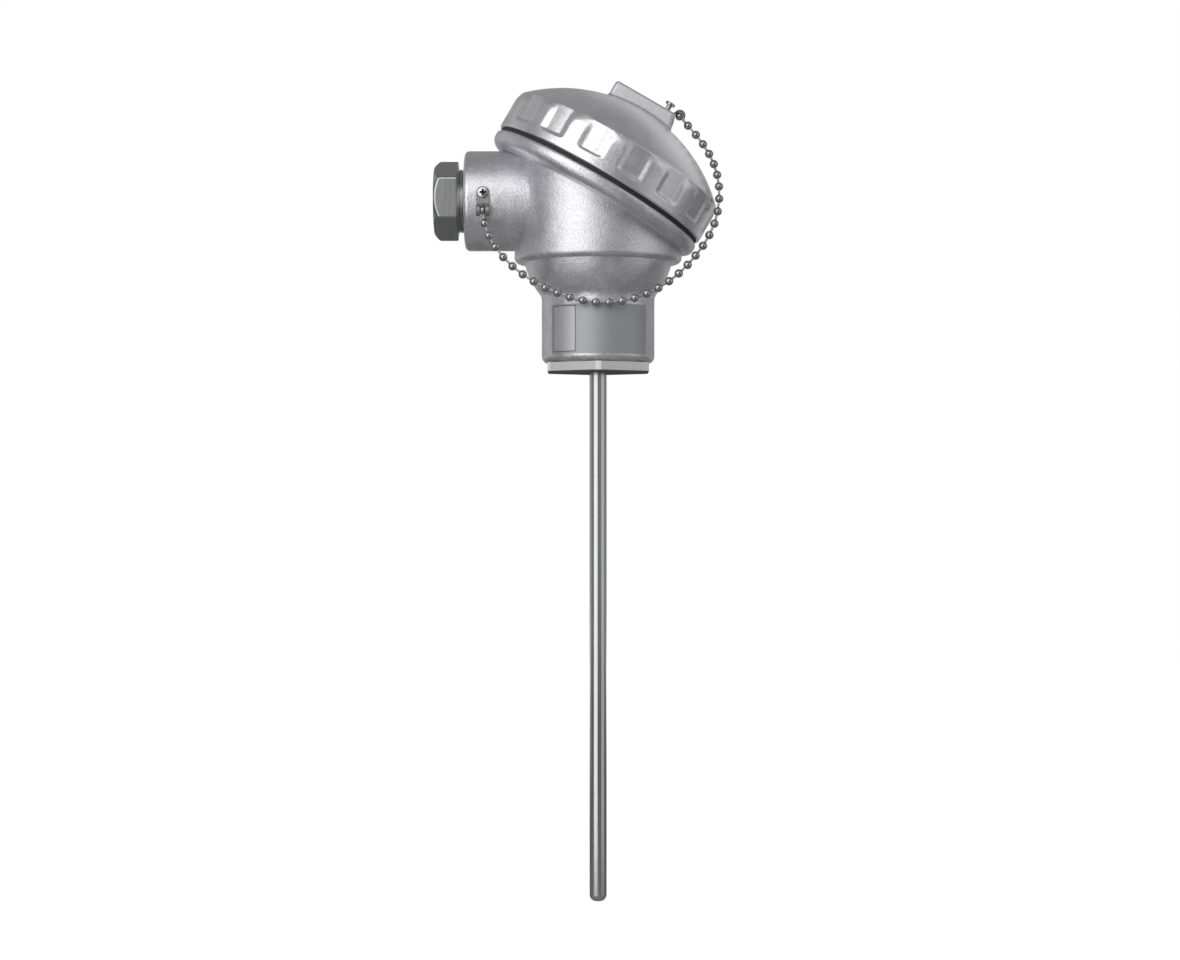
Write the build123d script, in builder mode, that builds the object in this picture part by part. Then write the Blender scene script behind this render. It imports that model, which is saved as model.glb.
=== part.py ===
from build123d import *
import math
import os

# Industrial temperature sensor with a cast aluminium connection head, a screw cap held by a
# bead chain, a cable gland on the side and a 200 mm steel immersion stem.
# The origin is on the stem's axis at the underside of the hexagon plate, where the immersion
# length starts. +Z is up along the stem, and the cable gland points towards -X. Millimetres.

os.makedirs("parts", exist_ok=True)

# Gaps between pieces that fit together, and how far a cut runs past what it cuts
weld_gap = 0.05
thread_gap = 0.1
loose_gap = 0.3
seat_gap = 0.05
touch_gap = 0.02
cut_margin = 1.0

# Immersion stem and what is inside it
stem_length = 200.0
stem_diameter = 6.5
stem_wall = 0.8
stem_seat_step = 0.25
stem_shoulder_gap = 0.05
weld_groove_width = 0.35
weld_groove_depth = 0.4
stem_tip_wall = 1.2
stem_tip_round = 2.4
stem_rise_in_head = 2.0
element_diameter = 2.8
element_length = 17.0
element_tip_distance = 4.0
tip_fill_length = 19.5
wire_diameter = 0.8
wire_circle_radius = 1.1
wire_count = 3
wire_bend_radius = 2.5
wire_end_bend_radius = 1.2
wire_clamped_length = 2.0
sleeve_wall = 0.5
sleeve_gap = 0.15
plug_length = 5.0

# Hexagon plate with the threaded spigot that screws into the neck
plate_flats = 38.0
plate_thickness = 3.4
plate_corner_diameter = 42.8
spigot_diameter = 24.0
spigot_length = 14.0

# Cast head: neck, bowl, body and side boss
neck_radius = 21.3
neck_edge_round = 2.5
neck_bowl_round = 4.0
lip_overhang = 3.1
bowl_centre_height = 47.6
bowl_wall = 3.5
body_inset_from_collar = 1.5
body_wall = 4.0
body_lip_height = 41.2
body_lip_round = 2.0
chamber_floor_height = 30.0
chamber_step_rise = 2.8
wire_passage_radius = 8.0
boss_radius = 18.8
boss_height = 64.8
boss_face_distance = 50.2
boss_edge_round = 1.8
boss_seat_distance = 34.0
cable_passage_radius = 8.0

# Tilted opening with its flange and threaded collar
cap_tilt = 30.0
seal_height = 70.2
gasket_thickness = 1.3
gasket_inset = 0.8
flange_inset = 0.1
flange_thickness = 5.5
flange_top_round = 1.2
flange_bottom_round = 3.4
collar_wall = 3.5
collar_height = 8.0
opening_step_depth = 1.5

# Screw cap
cap_ring_radius = 43.3
cap_skirt_wall = 5.0
cap_ring_height = 15.2
cap_land_height = 11.8
cap_relief_depth = 0.8
cap_pocket_floor = 3.8
cap_pocket_width = 9.0
cap_pocket_count = 16
cap_pocket_phase = -9.0
cap_bevel = 1.1
cap_dome_radius = 60.2
cap_crown_height = 33.0
cap_wall = 3.0
grip_length_left = 13.6
grip_length_right = 12.1
grip_flank_slope = 1.8
grip_depth = 16.0
grip_top_height = 37.6
grip_edge_round = 1.2
grip_root_depth = 7.6

# Cable gland
gland_thread_diameter = 24.0
gland_thread_length = 9.8
gland_hex_diameter = 30.4
gland_hex_length = 8.9
gland_collar_gap = 2.6
gland_bore_diameter = 13.0
gland_chamfer_length = 2.0
gland_chamfer_depth = 2.4
gland_mouth_chamfer = 1.0
gland_washer_thickness = 1.2
gland_washer_bore = 12.0
gland_seal_bore = 10.0

# Transmitter puck and its fixings
puck_radius = 22.0
puck_height = 16.0
puck_seat_height = 45.0
puck_bar_half_width = 9.0
puck_ledge_height = 9.0
puck_screw_spacing = 33.0
puck_screw_diameter = 4.0
puck_screw_head_diameter = 7.4
puck_screw_head_height = 2.6
puck_counterbore_depth = 5.0
puck_centre_hole_radius = 3.6
pillar_radius = 4.3
pillar_hole_depth = 10.0
pillar_hole_spare = 1.0
terminal_length = 6.0
terminal_width = 6.4
terminal_height = 5.5
terminal_distance = 14.0
sensor_terminal_spacing = 9.0
loop_terminal_spacing = 12.0
terminal_wire_hole = 2.0
terminal_wire_height = 1.8
terminal_screw_diameter = 2.6
terminal_screw_head_diameter = 4.8
terminal_screw_head_height = 1.6
ground_head_inset = 0.4
ground_screw_diameter = 3.2
ground_screw_length = 3.4
ground_head_diameter = 6.2
ground_head_height = 2.0
ground_washer_thickness = 0.8

# Slots in screw heads, as shares of the head's diameter and height
slot_width_share = 0.16
slot_depth_share = 0.5
cross_size_share = 0.5
cross_width_share = 0.25

# Bead chain and its two clips
bead_diameter = 3.2
bead_pitch = 4.88
link_diameter = 0.9
head_bead_count = 20
lifted_bead_count = 6
gasket_bead_count = 7
clip_width = 4.9
clip_thickness = 0.45
clip_loop_radius = 1.97
clip_slot_width = 2.0
clip_screw_diameter = 2.0
clip_screw_depth = 5.0
clip_head_diameter = 3.9
clip_head_height = 1.3
lower_clip_distance = 42.7
lower_clip_screw_height = 0.9
lower_clip_end_height = 3.3
lower_bead_drop = 5.8
lower_bead_stand_off = 1.5
upper_clip_screw_offset = 8.0
upper_clip_end_offset = 4.6
upper_clip_screw_stand = 2.4
upper_bead_offset = 13.3
upper_bead_height = 1.0
upper_roll_open_angle = -60.0
chain_neck_gap = 0.5

# Frames of the tilted cap: across the cap, and along its axis
tilt = math.radians(cap_tilt)
cap_direction = Vector(math.sin(tilt), 0, math.cos(tilt))
cap_across = Vector(math.cos(tilt), 0, -math.sin(tilt))
seal_centre = Vector(0, 0, seal_height)
cap_plane = Plane(origin=seal_centre, x_dir=cap_across, z_dir=cap_direction)
cap_section = Plane(origin=seal_centre, x_dir=cap_across, z_dir=(0, -1, 0))
cap_axis = Axis(seal_centre, cap_direction)

# Heights along the cap's axis, from the middle of the gasket
gasket_bottom = -gasket_thickness / 2
flange_top = gasket_bottom - seat_gap
flange_bottom = flange_top - flange_thickness
opening_floor = flange_top - opening_step_depth
cap_bottom = gasket_thickness / 2 + seat_gap
collar_top = flange_top + collar_height

# Radii and heights that follow from the driving dimensions
stem_radius = stem_diameter / 2
stem_bore_radius = stem_radius - stem_wall
stem_seat_radius = stem_radius - stem_seat_step
stem_top = chamber_floor_height + stem_rise_in_head
neck_bottom = plate_thickness
spigot_top = plate_thickness + spigot_length
flange_radius = cap_ring_radius - flange_inset
gasket_radius = flange_radius - gasket_inset
skirt_radius = cap_ring_radius - cap_skirt_wall
collar_radius = skirt_radius - loose_gap
opening_radius = collar_radius - collar_wall
body_radius = (collar_radius - body_inset_from_collar) * math.cos(tilt)
chamber_radius = body_radius - body_wall
chamber_step_height = body_lip_height + chamber_step_rise
bowl_radius = body_radius - lip_overhang
bowl_inner_radius = bowl_radius - bowl_wall
ground_screw_distance = opening_radius - ground_head_inset - ground_head_diameter / 2
bead_radius = bead_diameter / 2
above_everything = seal_height + 2 * body_radius


def corner(sketch, x, y):
    """The corner of a sketch that lies nearest to (x, y) in the sketch's own plane."""
    return sketch.vertices().sort_by_distance((x, y, 0))[0]


def cross_recess(plane):
    """Cut the cross slot of a clip screw's head, down from the plane of the head's top."""
    size = cross_size_share * clip_head_diameter
    with BuildSketch(plane) as cross:
        Rectangle(size, cross_width_share * size)
        Rectangle(cross_width_share * size, size)
    extrude(cross.sketch, amount=-slot_depth_share * clip_head_height, mode=Mode.SUBTRACT)


# The chamber inside the head: bowl, round body and the tilted opening
with BuildPart() as chamber:
    bowl_floor_angle = math.degrees(
        math.asin((chamber_floor_height - bowl_centre_height) / bowl_inner_radius))
    bowl_step_angle = math.degrees(
        math.asin((chamber_step_height - bowl_centre_height) / bowl_inner_radius))
    with BuildSketch(Plane.XZ):
        with BuildLine():
            bowl_curve = CenterArc((0, bowl_centre_height), bowl_inner_radius,
                                   bowl_floor_angle, bowl_step_angle - bowl_floor_angle)
            Polyline(bowl_curve @ 1, (chamber_radius, chamber_step_height),
                     (chamber_radius, above_everything), (0, above_everything),
                     (0, chamber_floor_height), bowl_curve @ 0)
        make_face()
    revolve(axis=Axis.Z)
    split(bisect_by=cap_plane.offset(opening_floor), keep=Keep.BOTTOM)
    with BuildSketch(cap_plane.offset(opening_floor)):
        Circle(opening_radius)
    extrude(amount=collar_top - opening_floor + cut_margin)

# Head housing: one aluminium casting with neck, bowl, body, side boss, flange and collar
with BuildPart() as head_housing:
    bowl_start = bowl_centre_height - math.sqrt(bowl_radius ** 2 - neck_radius ** 2)
    bowl_start_angle = -math.degrees(math.acos(neck_radius / bowl_radius))
    bowl_end_angle = math.degrees(math.asin((body_lip_height - bowl_centre_height) / bowl_radius))
    with BuildSketch(Plane.XZ) as head_profile:
        with BuildLine():
            bowl_outside = CenterArc((0, bowl_centre_height), bowl_radius,
                                     bowl_start_angle, bowl_end_angle - bowl_start_angle)
            Polyline(bowl_outside @ 1, (body_radius, body_lip_height),
                     (body_radius, above_everything), (0, above_everything),
                     (0, neck_bottom), (neck_radius, neck_bottom), bowl_outside @ 0)
        make_face()
        fillet(corner(head_profile, neck_radius, neck_bottom), neck_edge_round)
        fillet(corner(head_profile, neck_radius, bowl_start), neck_bowl_round)
        fillet(corner(head_profile, body_radius, body_lip_height), body_lip_round)
    revolve(axis=Axis.Z)
    with BuildSketch(Plane.YZ.offset(-boss_face_distance)):
        with Locations((0, boss_height)):
            Circle(boss_radius)
    extrude(amount=boss_face_distance)
    boss_face = head_housing.faces().sort_by(Axis.X)[0]
    fillet(boss_face.edges(), boss_edge_round)
    split(bisect_by=cap_plane.offset(flange_bottom), keep=Keep.BOTTOM)
    with BuildSketch(cap_section) as flange_profile:
        with Locations((flange_radius / 2, (flange_top + flange_bottom) / 2)):
            Rectangle(flange_radius, flange_thickness)
        fillet(corner(flange_profile, flange_radius, flange_top), flange_top_round)
        fillet(corner(flange_profile, flange_radius, flange_bottom), flange_bottom_round)
    revolve(axis=cap_axis)
    with BuildSketch(cap_plane.offset(flange_top)):
        Circle(collar_radius)
    extrude(amount=collar_height)
    add(chamber.part, mode=Mode.SUBTRACT)
    with BuildSketch(Plane.XY.offset(chamber_floor_height)):
        with GridLocations(0, puck_screw_spacing, 1, 2):
            Circle(pillar_radius)
    extrude(amount=puck_seat_height - chamber_floor_height)
    with BuildSketch(Plane.XY.offset(puck_seat_height)):
        with GridLocations(0, puck_screw_spacing, 1, 2):
            Circle(puck_screw_diameter / 2 + weld_gap)
    extrude(amount=-pillar_hole_depth, mode=Mode.SUBTRACT)
    with BuildSketch(Plane.XY.offset(neck_bottom)):
        Circle(spigot_diameter / 2 + weld_gap)
    extrude(amount=spigot_length + loose_gap, mode=Mode.SUBTRACT)
    with BuildSketch(Plane.XY.offset(neck_bottom)):
        Circle(wire_passage_radius)
    extrude(amount=chamber_floor_height - neck_bottom + cut_margin, mode=Mode.SUBTRACT)
    with BuildSketch(Plane.YZ.offset(-boss_face_distance)):
        with Locations((0, boss_height)):
            Circle(gland_thread_diameter / 2 + thread_gap)
    extrude(amount=boss_face_distance - boss_seat_distance, mode=Mode.SUBTRACT)
    with BuildSketch(Plane.YZ.offset(-boss_seat_distance)):
        with Locations((0, boss_height)):
            Circle(cable_passage_radius)
    extrude(amount=boss_seat_distance - chamber_radius / 2, mode=Mode.SUBTRACT)
    with BuildSketch(Plane.XZ.offset(boss_radius)):
        with Locations((-lower_clip_distance, boss_height + lower_clip_screw_height)):
            Circle(clip_screw_diameter / 2 + weld_gap)
    extrude(amount=-clip_screw_depth, mode=Mode.SUBTRACT)
    with BuildSketch(cap_plane.offset(opening_floor)):
        with Locations((0, ground_screw_distance)):
            Circle(ground_screw_diameter / 2 + weld_gap)
    extrude(amount=-ground_screw_length, mode=Mode.SUBTRACT)
head_housing.part.label = "head_housing"
export_step(head_housing.part, "parts/head_housing.step")

# Cap gasket: a flat rubber ring that slips over the collar
with BuildPart() as cap_gasket:
    with BuildSketch(cap_plane.offset(gasket_bottom)):
        Circle(gasket_radius)
        Circle(collar_radius + thread_gap, mode=Mode.SUBTRACT)
    extrude(amount=gasket_thickness)
cap_gasket.part.label = "cap_gasket"
export_step(cap_gasket.part, "parts/cap_gasket.step")

# Grip on the cap's crown, with one raked flank where the chain leaves
with BuildPart() as grip:
    grip_foot = cap_crown_height - grip_root_depth
    with BuildSketch(cap_section):
        with BuildLine():
            Polyline((-grip_length_left, grip_foot),
                     (grip_length_right + grip_flank_slope, grip_foot),
                     (grip_length_right, grip_top_height),
                     (-grip_length_left, grip_top_height), close=True)
        make_face()
    extrude(amount=grip_depth / 2, both=True)
    fillet(grip.edges().filter_by(Axis.Y, reverse=True).sort_by(cap_axis)[2:-2], grip_edge_round)
    fillet(grip.faces().sort_by(cap_axis)[-1].edges(), grip_edge_round)

# Screw cap: a domed aluminium casting with a crenellated grip ring
with BuildPart() as screw_cap:
    dome_centre = cap_crown_height - cap_dome_radius
    relief_radius = cap_ring_radius - cap_relief_depth
    ring_top = cap_bottom + cap_ring_height
    land_top = cap_bottom + cap_land_height
    dome_start_radius = relief_radius - cap_bevel
    dome_start_angle = math.degrees(math.acos(dome_start_radius / cap_dome_radius))
    with BuildSketch(cap_section):
        with BuildLine():
            dome_curve = CenterArc((0, dome_centre), cap_dome_radius,
                                   dome_start_angle, 90 - dome_start_angle)
            Polyline(dome_curve @ 1, (0, cap_bottom), (cap_ring_radius, cap_bottom),
                     (cap_ring_radius, land_top), (relief_radius, land_top),
                     (relief_radius, ring_top), dome_curve @ 0)
        make_face()
    revolve(axis=cap_axis)
    pocket_angle = cap_pocket_phase - 90
    with BuildSketch(cap_plane.offset(cap_bottom + cap_pocket_floor)):
        with PolarLocations(cap_ring_radius, cap_pocket_count, start_angle=pocket_angle):
            Rectangle(2 * cap_bevel, cap_pocket_width)
        Circle(relief_radius, mode=Mode.SUBTRACT)
    extrude(amount=cap_ring_height - cap_pocket_floor, mode=Mode.SUBTRACT)
    add(grip.part)
    inner_dome_radius = cap_dome_radius - cap_wall
    skirt_angle = math.degrees(math.acos(skirt_radius / inner_dome_radius))
    with BuildSketch(cap_section):
        with BuildLine():
            inner_dome = CenterArc((0, dome_centre), inner_dome_radius,
                                   skirt_angle, 90 - skirt_angle)
            Polyline(inner_dome @ 1, (0, cap_bottom), (skirt_radius, cap_bottom),
                     inner_dome @ 0)
        make_face()
    revolve(axis=cap_axis, mode=Mode.SUBTRACT)
    with BuildSketch(cap_plane.offset(grip_top_height)):
        with Locations((upper_clip_screw_offset, 0)):
            Circle(clip_screw_diameter / 2 + weld_gap)
    extrude(amount=-clip_screw_depth, mode=Mode.SUBTRACT)
screw_cap.part.label = "screw_cap"
export_step(screw_cap.part, "parts/screw_cap.step")

# Cable gland's pressure screw: hexagon head and threaded sleeve, bored for the cable
gland_shoulder = boss_face_distance + gland_collar_gap
gland_plane = Plane(origin=(-gland_shoulder, 0, boss_height), x_dir=(0, -1, 0), z_dir=(-1, 0, 0))
gland_axis = Axis((0, 0, boss_height), (-1, 0, 0))
gland_section = Plane(origin=(-gland_shoulder, 0, boss_height), x_dir=(-1, 0, 0), z_dir=(0, -1, 0))
with BuildPart() as gland_screw:
    with BuildSketch(gland_plane):
        RegularPolygon(radius=gland_hex_diameter / 2, side_count=6, rotation=90)
    extrude(amount=gland_hex_length)
    with BuildSketch(gland_section) as turned_profile:
        with Locations((gland_hex_length / 2, -gland_hex_diameter / 4)):
            Rectangle(gland_hex_length, gland_hex_diameter / 2)
        chamfer(corner(turned_profile, gland_hex_length, -gland_hex_diameter / 2),
                gland_chamfer_length, gland_chamfer_depth)
    revolve(axis=gland_axis, mode=Mode.INTERSECT)
    with BuildSketch(gland_plane):
        Circle(gland_thread_diameter / 2)
    extrude(amount=-gland_thread_length)
    with BuildSketch(gland_plane.offset(gland_hex_length)):
        Circle(gland_bore_diameter / 2)
    extrude(amount=-gland_hex_length - gland_thread_length, mode=Mode.SUBTRACT)
    mouth = gland_screw.faces().sort_by(Axis.X)[0]
    mouth_edge = mouth.edges().filter_by(GeomType.CIRCLE).sort_by(SortBy.RADIUS)[0]
    chamfer(mouth_edge, gland_mouth_chamfer)
gland_screw.part.label = "gland_screw"
export_step(gland_screw.part, "parts/gland_screw.step")

# Thrust washer between the pressure screw and the rubber seal
with BuildPart() as gland_washer:
    with BuildSketch(gland_plane.offset(-gland_thread_length - seat_gap)):
        Circle(gland_thread_diameter / 2 - thread_gap)
        Circle(gland_washer_bore / 2, mode=Mode.SUBTRACT)
    extrude(amount=-gland_washer_thickness)
gland_washer.part.label = "gland_washer"
export_step(gland_washer.part, "parts/gland_washer.step")

# Rubber seal that the pressure screw squeezes round the cable
seal_front = gland_shoulder - gland_thread_length - gland_washer_thickness - 2 * seat_gap
with BuildPart() as gland_seal:
    with BuildSketch(Plane.YZ.offset(-seal_front)):
        with Locations((0, boss_height)):
            Circle(gland_thread_diameter / 2 - thread_gap)
            Circle(gland_seal_bore / 2, mode=Mode.SUBTRACT)
    extrude(amount=seal_front - boss_seat_distance - touch_gap)
gland_seal.part.label = "gland_seal"
export_step(gland_seal.part, "parts/gland_seal.step")

# Hexagon plate with threaded spigot, bored for the stem
with BuildPart() as hex_fitting:
    with BuildSketch(Plane.XY):
        RegularPolygon(radius=plate_flats / 2, side_count=6, major_radius=False, rotation=30)
        Circle(plate_corner_diameter / 2, mode=Mode.INTERSECT)
    extrude(amount=plate_thickness)
    with BuildSketch(Plane.XY.offset(plate_thickness)):
        Circle(spigot_diameter / 2)
    extrude(amount=spigot_length)
    with BuildSketch(Plane.XY):
        Circle(stem_seat_radius + weld_gap)
    extrude(amount=spigot_top, mode=Mode.SUBTRACT)
    with BuildSketch(Plane.XY):
        Circle(stem_radius + weld_groove_width)
    extrude(amount=weld_groove_depth, mode=Mode.SUBTRACT)
hex_fitting.part.label = "hex_fitting"
export_step(hex_fitting.part, "parts/hex_fitting.step")

# Stem: a thin steel tube closed by a rounded tip and turned down where it is welded in
with BuildPart() as stem_tube:
    with BuildSketch(Plane.XZ) as stem_profile:
        with BuildLine():
            Polyline((0, -stem_length), (stem_radius, -stem_length),
                     (stem_radius, -stem_shoulder_gap), (stem_seat_radius, -stem_shoulder_gap),
                     (stem_seat_radius, stem_top),
                     (stem_bore_radius, stem_top), (stem_bore_radius, stem_tip_wall - stem_length),
                     (0, stem_tip_wall - stem_length), close=True)
        make_face()
        fillet(corner(stem_profile, stem_radius, -stem_length), stem_tip_round)
        fillet(corner(stem_profile, stem_bore_radius, stem_tip_wall - stem_length),
               stem_tip_round - stem_wall)
    revolve(axis=Axis.Z)
stem_tube.part.label = "stem_tube"
export_step(stem_tube.part, "parts/stem_tube.step")

# Sensing element: a ceramic rod with the platinum winding, near the tip
element_bottom = element_tip_distance - stem_length
element_top = element_bottom + element_length
with BuildPart() as sensing_element:
    with BuildSketch(Plane.XY.offset(element_bottom)):
        Circle(element_diameter / 2)
    extrude(amount=element_length)
sensing_element.part.label = "sensing_element"
export_step(sensing_element.part, "parts/sensing_element.step")

# Filling that carries the heat from the tip to the element
fill_bottom = stem_tip_wall - stem_length + touch_gap
with BuildPart() as tip_fill:
    with BuildSketch(Plane.XZ) as fill_profile:
        with Locations((0, fill_bottom)):
            Rectangle(stem_bore_radius - touch_gap, tip_fill_length, align=(Align.MIN, Align.MIN))
        fillet(corner(fill_profile, stem_bore_radius, fill_bottom), stem_tip_round - stem_wall)
    revolve(axis=Axis.Z)
    with BuildSketch(Plane.XY.offset(element_bottom - touch_gap)):
        Circle(element_diameter / 2 + touch_gap)
    extrude(amount=tip_fill_length, mode=Mode.SUBTRACT)
tip_fill.part.label = "tip_fill"
export_step(tip_fill.part, "parts/tip_fill.step")

# Insulating sleeve round the wires, from the element to the plug
plug_bottom = stem_top - plug_length
sleeve_inner_radius = stem_bore_radius - sleeve_gap - sleeve_wall
with BuildPart() as lead_sleeve:
    with BuildSketch(Plane.XY.offset(element_top)):
        Circle(sleeve_inner_radius + sleeve_wall)
        Circle(sleeve_inner_radius, mode=Mode.SUBTRACT)
    extrude(amount=plug_bottom - touch_gap - element_top)
lead_sleeve.part.label = "lead_sleeve"
export_step(lead_sleeve.part, "parts/lead_sleeve.step")

# Potting plug in the stem's upper end, with the wires through it
with BuildPart() as stem_plug:
    with BuildSketch(Plane.XY.offset(plug_bottom)):
        Circle(stem_bore_radius - touch_gap)
        with PolarLocations(wire_circle_radius, wire_count):
            Circle(wire_diameter / 2 + touch_gap, mode=Mode.SUBTRACT)
    extrude(amount=plug_length)
stem_plug.part.label = "stem_plug"
export_step(stem_plug.part, "parts/stem_plug.step")

# Transmitter: a moulded puck with a raised bar between two terminal ledges
puck_top = puck_seat_height + puck_height
ledge_top = puck_seat_height + puck_ledge_height
with BuildPart() as transmitter_case:
    with BuildSketch(Plane.XY.offset(puck_seat_height)):
        Circle(puck_radius)
    extrude(amount=puck_height)
    with BuildSketch(Plane.XY.offset(puck_top)):
        Rectangle(3 * puck_radius, 3 * puck_radius)
        Rectangle(2 * puck_bar_half_width, 3 * puck_radius, mode=Mode.SUBTRACT)
    extrude(amount=ledge_top - puck_top, mode=Mode.SUBTRACT)
    with BuildSketch(Plane.XY.offset(puck_top)):
        with GridLocations(0, puck_screw_spacing, 1, 2):
            Circle(puck_screw_head_diameter / 2 + loose_gap)
    extrude(amount=-puck_counterbore_depth, mode=Mode.SUBTRACT)
    with BuildSketch(Plane.XY.offset(puck_top)):
        with GridLocations(0, puck_screw_spacing, 1, 2):
            Circle(puck_screw_diameter / 2 + thread_gap)
        Circle(puck_centre_hole_radius)
    extrude(amount=-puck_height, mode=Mode.SUBTRACT)
transmitter_case.part.label = "transmitter_case"
export_step(transmitter_case.part, "parts/transmitter_case.step")

# Two screws that hold the transmitter on the pillars of the head
screw_seat = puck_top - puck_counterbore_depth
with BuildPart() as transmitter_screws:
    with BuildSketch(Plane.XY.offset(screw_seat + touch_gap)):
        with GridLocations(0, puck_screw_spacing, 1, 2):
            Circle(puck_screw_head_diameter / 2)
    extrude(amount=puck_screw_head_height)
    with BuildSketch(Plane.XY.offset(screw_seat + touch_gap)):
        with GridLocations(0, puck_screw_spacing, 1, 2):
            Circle(puck_screw_diameter / 2)
    extrude(amount=puck_seat_height - screw_seat - pillar_hole_depth + pillar_hole_spare)
    with BuildSketch(Plane.XY.offset(screw_seat + touch_gap + puck_screw_head_height)):
        with GridLocations(0, puck_screw_spacing, 1, 2):
            Rectangle(puck_screw_head_diameter, slot_width_share * puck_screw_head_diameter)
    extrude(amount=-slot_depth_share * puck_screw_head_height, mode=Mode.SUBTRACT)
transmitter_screws.part.label = "transmitter_screws"
export_step(transmitter_screws.part, "parts/transmitter_screws.step")

# Terminal clamps: three for the element's wires, two for the current loop
sensor_terminals = [(terminal_distance, sensor_terminal_spacing * i) for i in (-1, 0, 1)]
loop_terminals = [(-terminal_distance, loop_terminal_spacing * i) for i in (-0.5, 0.5)]
terminal_places = sensor_terminals + loop_terminals
clamp_top = ledge_top + terminal_height
with BuildPart() as transmitter_terminals:
    with BuildSketch(Plane.XY.offset(ledge_top)):
        with Locations(*terminal_places):
            Rectangle(terminal_length, terminal_width)
    extrude(amount=terminal_height)
    for x, y in terminal_places:
        with BuildSketch(Plane.YZ.offset(x - terminal_length)):
            with Locations((y, ledge_top + terminal_wire_height)):
                Circle(terminal_wire_hole / 2)
        extrude(amount=2 * terminal_length, mode=Mode.SUBTRACT)
    with BuildSketch(Plane.XY.offset(clamp_top)):
        with Locations(*terminal_places):
            Circle(terminal_screw_diameter / 2 + weld_gap)
    extrude(amount=-terminal_height / 2, mode=Mode.SUBTRACT)
transmitter_terminals.part.label = "transmitter_terminals"
export_step(transmitter_terminals.part, "parts/transmitter_terminals.step")

# Slotted screws of the clamps, standing a wire's thickness above them
head_seat = clamp_top + wire_diameter + 2 * touch_gap
with BuildPart() as terminal_screws:
    with BuildSketch(Plane.XY.offset(head_seat)):
        with Locations(*terminal_places):
            Circle(terminal_screw_head_diameter / 2)
    extrude(amount=terminal_screw_head_height)
    with BuildSketch(Plane.XY.offset(head_seat)):
        with Locations(*terminal_places):
            Circle(terminal_screw_diameter / 2)
    extrude(amount=clamp_top - head_seat - terminal_height / 2 + touch_gap)
    with BuildSketch(Plane.XY.offset(head_seat + terminal_screw_head_height)):
        with Locations(*terminal_places):
            Rectangle(terminal_screw_head_diameter,
                      slot_width_share * terminal_screw_head_diameter)
    extrude(amount=-slot_depth_share * terminal_screw_head_height, mode=Mode.SUBTRACT)
terminal_screws.part.label = "terminal_screws"
export_step(terminal_screws.part, "parts/terminal_screws.step")

# Element wires: up the stem, through the puck, over its bar and under the clamp screws
wire_over_bar = puck_top + 2 * wire_diameter
wire_in_clamp = clamp_top + wire_diameter / 2 + touch_gap
wire_end = terminal_distance - terminal_screw_diameter / 2 - weld_gap
with BuildPart() as element_leads:
    for i in range(wire_count):
        angle = 2 * math.pi * i / wire_count
        x = wire_circle_radius * math.cos(angle)
        y = wire_circle_radius * math.sin(angle)
        terminal_y = sensor_terminals[(i + 1) % wire_count][1]
        with BuildLine():
            wire_path = FilletPolyline((x, y, element_top + touch_gap), (x, y, wire_over_bar),
                                       (puck_bar_half_width, terminal_y, wire_over_bar),
                                       (wire_end - wire_clamped_length, terminal_y, wire_in_clamp),
                                       (wire_end, terminal_y, wire_in_clamp),
                                       radius=[wire_bend_radius, wire_end_bend_radius,
                                               wire_end_bend_radius])
        with BuildSketch(Plane.XY.offset(element_top + touch_gap)):
            with Locations((x, y)):
                Circle(wire_diameter / 2)
        sweep(path=wire_path)
element_leads.part.label = "element_leads"
export_step(element_leads.part, "parts/element_leads.step")

# Earthing screw on the step inside the opening, with its washer
with BuildPart() as ground_washer:
    with BuildSketch(cap_plane.offset(opening_floor + touch_gap)):
        with Locations((0, ground_screw_distance)):
            Circle(ground_head_diameter / 2)
            Circle(ground_screw_diameter / 2 + weld_gap, mode=Mode.SUBTRACT)
    extrude(amount=ground_washer_thickness)
ground_washer.part.label = "ground_washer"
export_step(ground_washer.part, "parts/ground_washer.step")

ground_head_seat = opening_floor + ground_washer_thickness + 2 * touch_gap
with BuildPart() as ground_screw:
    with BuildSketch(cap_plane.offset(ground_head_seat)):
        with Locations((0, ground_screw_distance)):
            Circle(ground_head_diameter / 2)
    extrude(amount=ground_head_height)
    with BuildSketch(cap_plane.offset(ground_head_seat)):
        with Locations((0, ground_screw_distance)):
            Circle(ground_screw_diameter / 2)
    extrude(amount=-ground_screw_length)
    with BuildSketch(cap_plane.offset(ground_head_seat + ground_head_height)):
        with Locations((0, ground_screw_distance)):
            Rectangle(ground_head_diameter, slot_width_share * ground_head_diameter)
    extrude(amount=-slot_depth_share * ground_head_height, mode=Mode.SUBTRACT)
ground_screw.part.label = "ground_screw"
export_step(ground_screw.part, "parts/ground_screw.step")

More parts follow.
